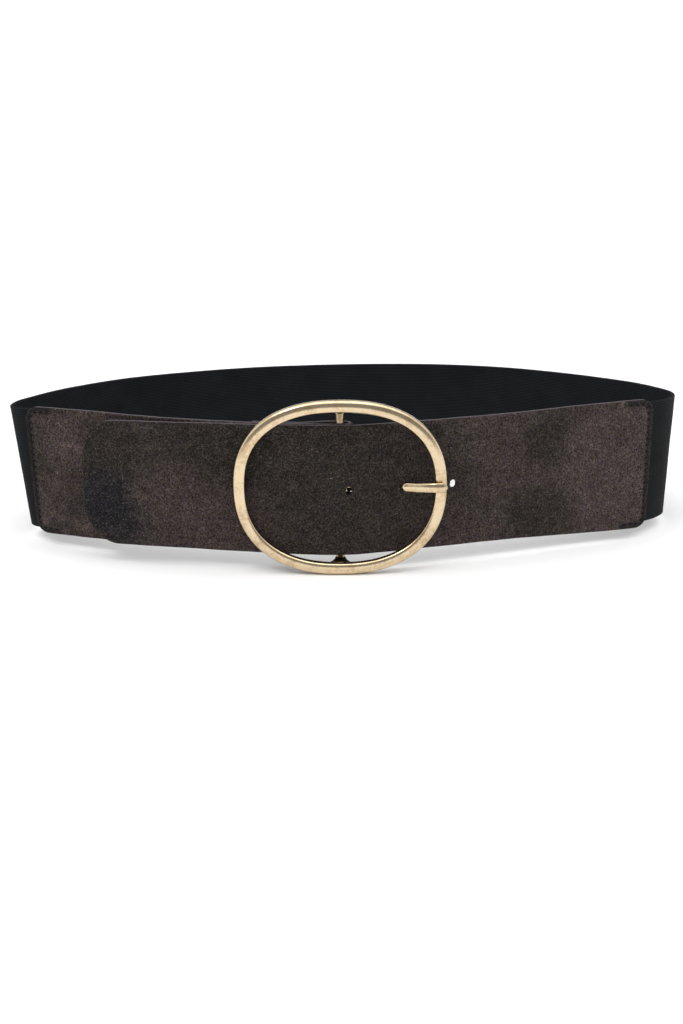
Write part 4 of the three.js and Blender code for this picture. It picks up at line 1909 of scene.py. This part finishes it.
@dataclass(frozen=True)
class Sky:
    """Soft studio surroundings: bright overhead, pale at the sides and dim where the camera stands."""

    overhead: float = 2.35
    around: float = 1.1
    overhead_from: float = 0.55
    overhead_to: float = 0.9
    front_dimming: float = 0.7
    front_from: float = 0.2
    front_to: float = 0.6
    horizon_from: float = 0.0
    horizon_to: float = 0.1
    back_dimming: float = 0.5
    back_from: float = 0.15
    back_to: float = 0.5

    def build(self) -> bpy.types.World:
        """Build the surroundings."""
        world = bpy.data.worlds.new("studio_surroundings")
        world.use_nodes = True
        tree = world.node_tree
        split = tree.nodes.new("ShaderNodeSeparateXYZ")
        tree.links.new(tree.nodes.new("ShaderNodeTexCoord").outputs["Generated"], split.inputs[0])

        def ramp(value: bpy.types.NodeSocket, low: float, high: float, to_low: float,
                 to_high: float) -> bpy.types.NodeSocket:
            """Ease a direction's number from one level to another."""
            made = tree.nodes.new("ShaderNodeMapRange")
            made.interpolation_type = "SMOOTHSTEP"
            tree.links.new(value, made.inputs["Value"])
            made.inputs["From Min"].default_value = low
            made.inputs["From Max"].default_value = high
            made.inputs["To Min"].default_value = to_low
            made.inputs["To Max"].default_value = to_high
            return made.outputs["Result"]

        def combine(operation: str, first: bpy.types.NodeSocket,
                    second: bpy.types.NodeSocket) -> bpy.types.NodeSocket:
            """Combine two numbers by a named operation."""
            made = tree.nodes.new("ShaderNodeMath")
            made.operation = operation
            tree.links.new(first, made.inputs[0])
            tree.links.new(second, made.inputs[1])
            return made.outputs[0]

        overhead = (self.overhead_from, self.overhead_to)
        level = ramp(split.outputs["Z"], *overhead, self.around, self.overhead)
        in_front = ramp(split.outputs["Y"], -self.front_to, -self.front_from, 1.0, 0.0)
        low_down = ramp(split.outputs["Z"], *overhead, self.front_dimming, 0.0)
        behind = ramp(split.outputs["Y"], self.back_from, self.back_to, 0.0, self.back_dimming)
        above_horizon = ramp(split.outputs["Z"], self.horizon_from, self.horizon_to, 0.0, 1.0)
        dimming = combine("ADD", combine("MULTIPLY", in_front, low_down), behind)
        dimming = combine("MULTIPLY", dimming, above_horizon)
        kept = ramp(dimming, 0.0, 1.0, 1.0, 0.0)
        kept.node.interpolation_type = "LINEAR"
        background = tree.nodes["Background"]
        background.inputs["Color"].default_value = (1, 1, 1, 1)
        tree.links.new(combine("MULTIPLY", level, kept), background.inputs["Strength"])
        return world


@dataclass(frozen=True)
class Studio:
    """A plain white floor under soft surroundings and one soft light."""

    floor_side: float = 60.0
    floor_white: Colour = (0.93, 0.93, 0.93, 1)
    lights: tuple[SoftLight, ...] = (
        SoftLight("front_left_light", (-0.9, -0.8, 1.5), 0.5, 5.0),
    )

    def build(self) -> None:
        """Make the floor, the surroundings and the lights."""
        work = bmesh.new()
        bmesh.ops.create_grid(work, x_segments=1, y_segments=1, size=self.floor_side / 2)
        mesh = bpy.data.meshes.new("studio_floor")
        work.to_mesh(mesh)
        work.free()
        recipe = Recipe("studio_floor")
        grain = recipe.cloud(recipe.coordinates("Object"), 0.4, 2.0, 0.5)
        near_white = tuple(channel * 0.98 for channel in self.floor_white[:3]) + (1,)
        recipe.surface(
            Base_Color=recipe.tint(grain, self.floor_white, near_white),
            Roughness=0.9,
            Specular_IOR_Level=0.1,
        )
        mesh.materials.append(recipe.material)
        floor = bpy.data.objects.new("studio_floor", mesh)
        bpy.context.scene.collection.objects.link(floor)
        bpy.context.scene.world = Sky().build()
        for light in self.lights:
            self.hang(light)
        bpy.context.scene.view_settings.view_transform = "Standard"

    def hang(self, light: SoftLight) -> None:
        """Hang one soft light, turned to the belt.

        Args:
            light: The light's place, size and power.
        """
        lamp = bpy.data.lights.new(light.name, "AREA")
        lamp.size = light.side
        lamp.energy = light.watts
        lamp.color = light.tint
        hung = bpy.data.objects.new(light.name, lamp)
        bpy.context.scene.collection.objects.link(hung)
        hung.location = light.place
        towards = Vector((0, 0, 0.03)) - Vector(light.place)
        hung.rotation_euler = towards.to_track_quat("-Z", "Y").to_euler()
        hung.visible_camera = False


def main() -> None:
    """Build the belt, its stitches and the studio, and report each piece."""
    sizes = BeltSizes()
    plan = BeltPlan(sizes)
    PhotoCamera().build(plan)
    Studio().build()
    suede = SuedeFinish()
    cut_edge = CutEdgeFinish().material()
    lining = LiningFinish().material()
    strap_suede = suede.material("strap_suede", plan.tip_at, STRAP_PATCHES)
    panel_suede = suede.material("buckle_panel_suede", 0.0, PANEL_PATCHES)
    band = ElasticBand(plan)
    elastic = ElasticFinish().material(sizes.elastic_width / band.ribs)
    gold = GoldFinish().material()
    thread = ThreadFinish().material()
    strap = StrapPanel(plan)
    buckle_panel = BucklePanel(plan)
    pieces = [
        strap.build([strap_suede, cut_edge, lining]),
        buckle_panel.build([panel_suede, cut_edge, lining]),
        band.build(elastic),
        # The ring's second finish paints shade on the bar's feet.
        RingBuckle(plan).build(gold, FootShadeFinish().material()),
        Prong(plan).build(gold),
    ]
    stitching = Stitching(plan)
    sunk = sizes.panel_thickness - strap.groove_depth + stitching.thread_radius * 0.55
    inside = -sizes.layer_gap - sizes.elastic_thickness - stitching.thread_radius * 0.35
    right_half = sizes.right_end_width / 2
    left_half = sizes.left_end_width / 2
    right = stitching.bracket(plan.right_end_at, -1, plan.middle - right_half,
                              plan.middle + right_half, strap.stitch_inset, strap.stitch_return)
    left = stitching.bracket(0.0, 1, plan.middle - left_half, plan.middle + left_half,
                             buckle_panel.stitch_inset, buckle_panel.stitch_return)
    pieces.append(stitching.build("right_seam_stitches", [(right, sunk), (right, inside)],
                                  plan.loop, thread))
    pieces.append(stitching.build("left_seam_stitches", [(left, sunk), (left, inside)],
                                  buckle_panel.route(), thread))
    for piece in pieces:
        log.info("%s: %d faces", piece.name, len(piece.data.polygons))


if __name__ == "__main__":
    logging.basicConfig(level=logging.INFO, format="%(name)s: %(message)s")
    main()
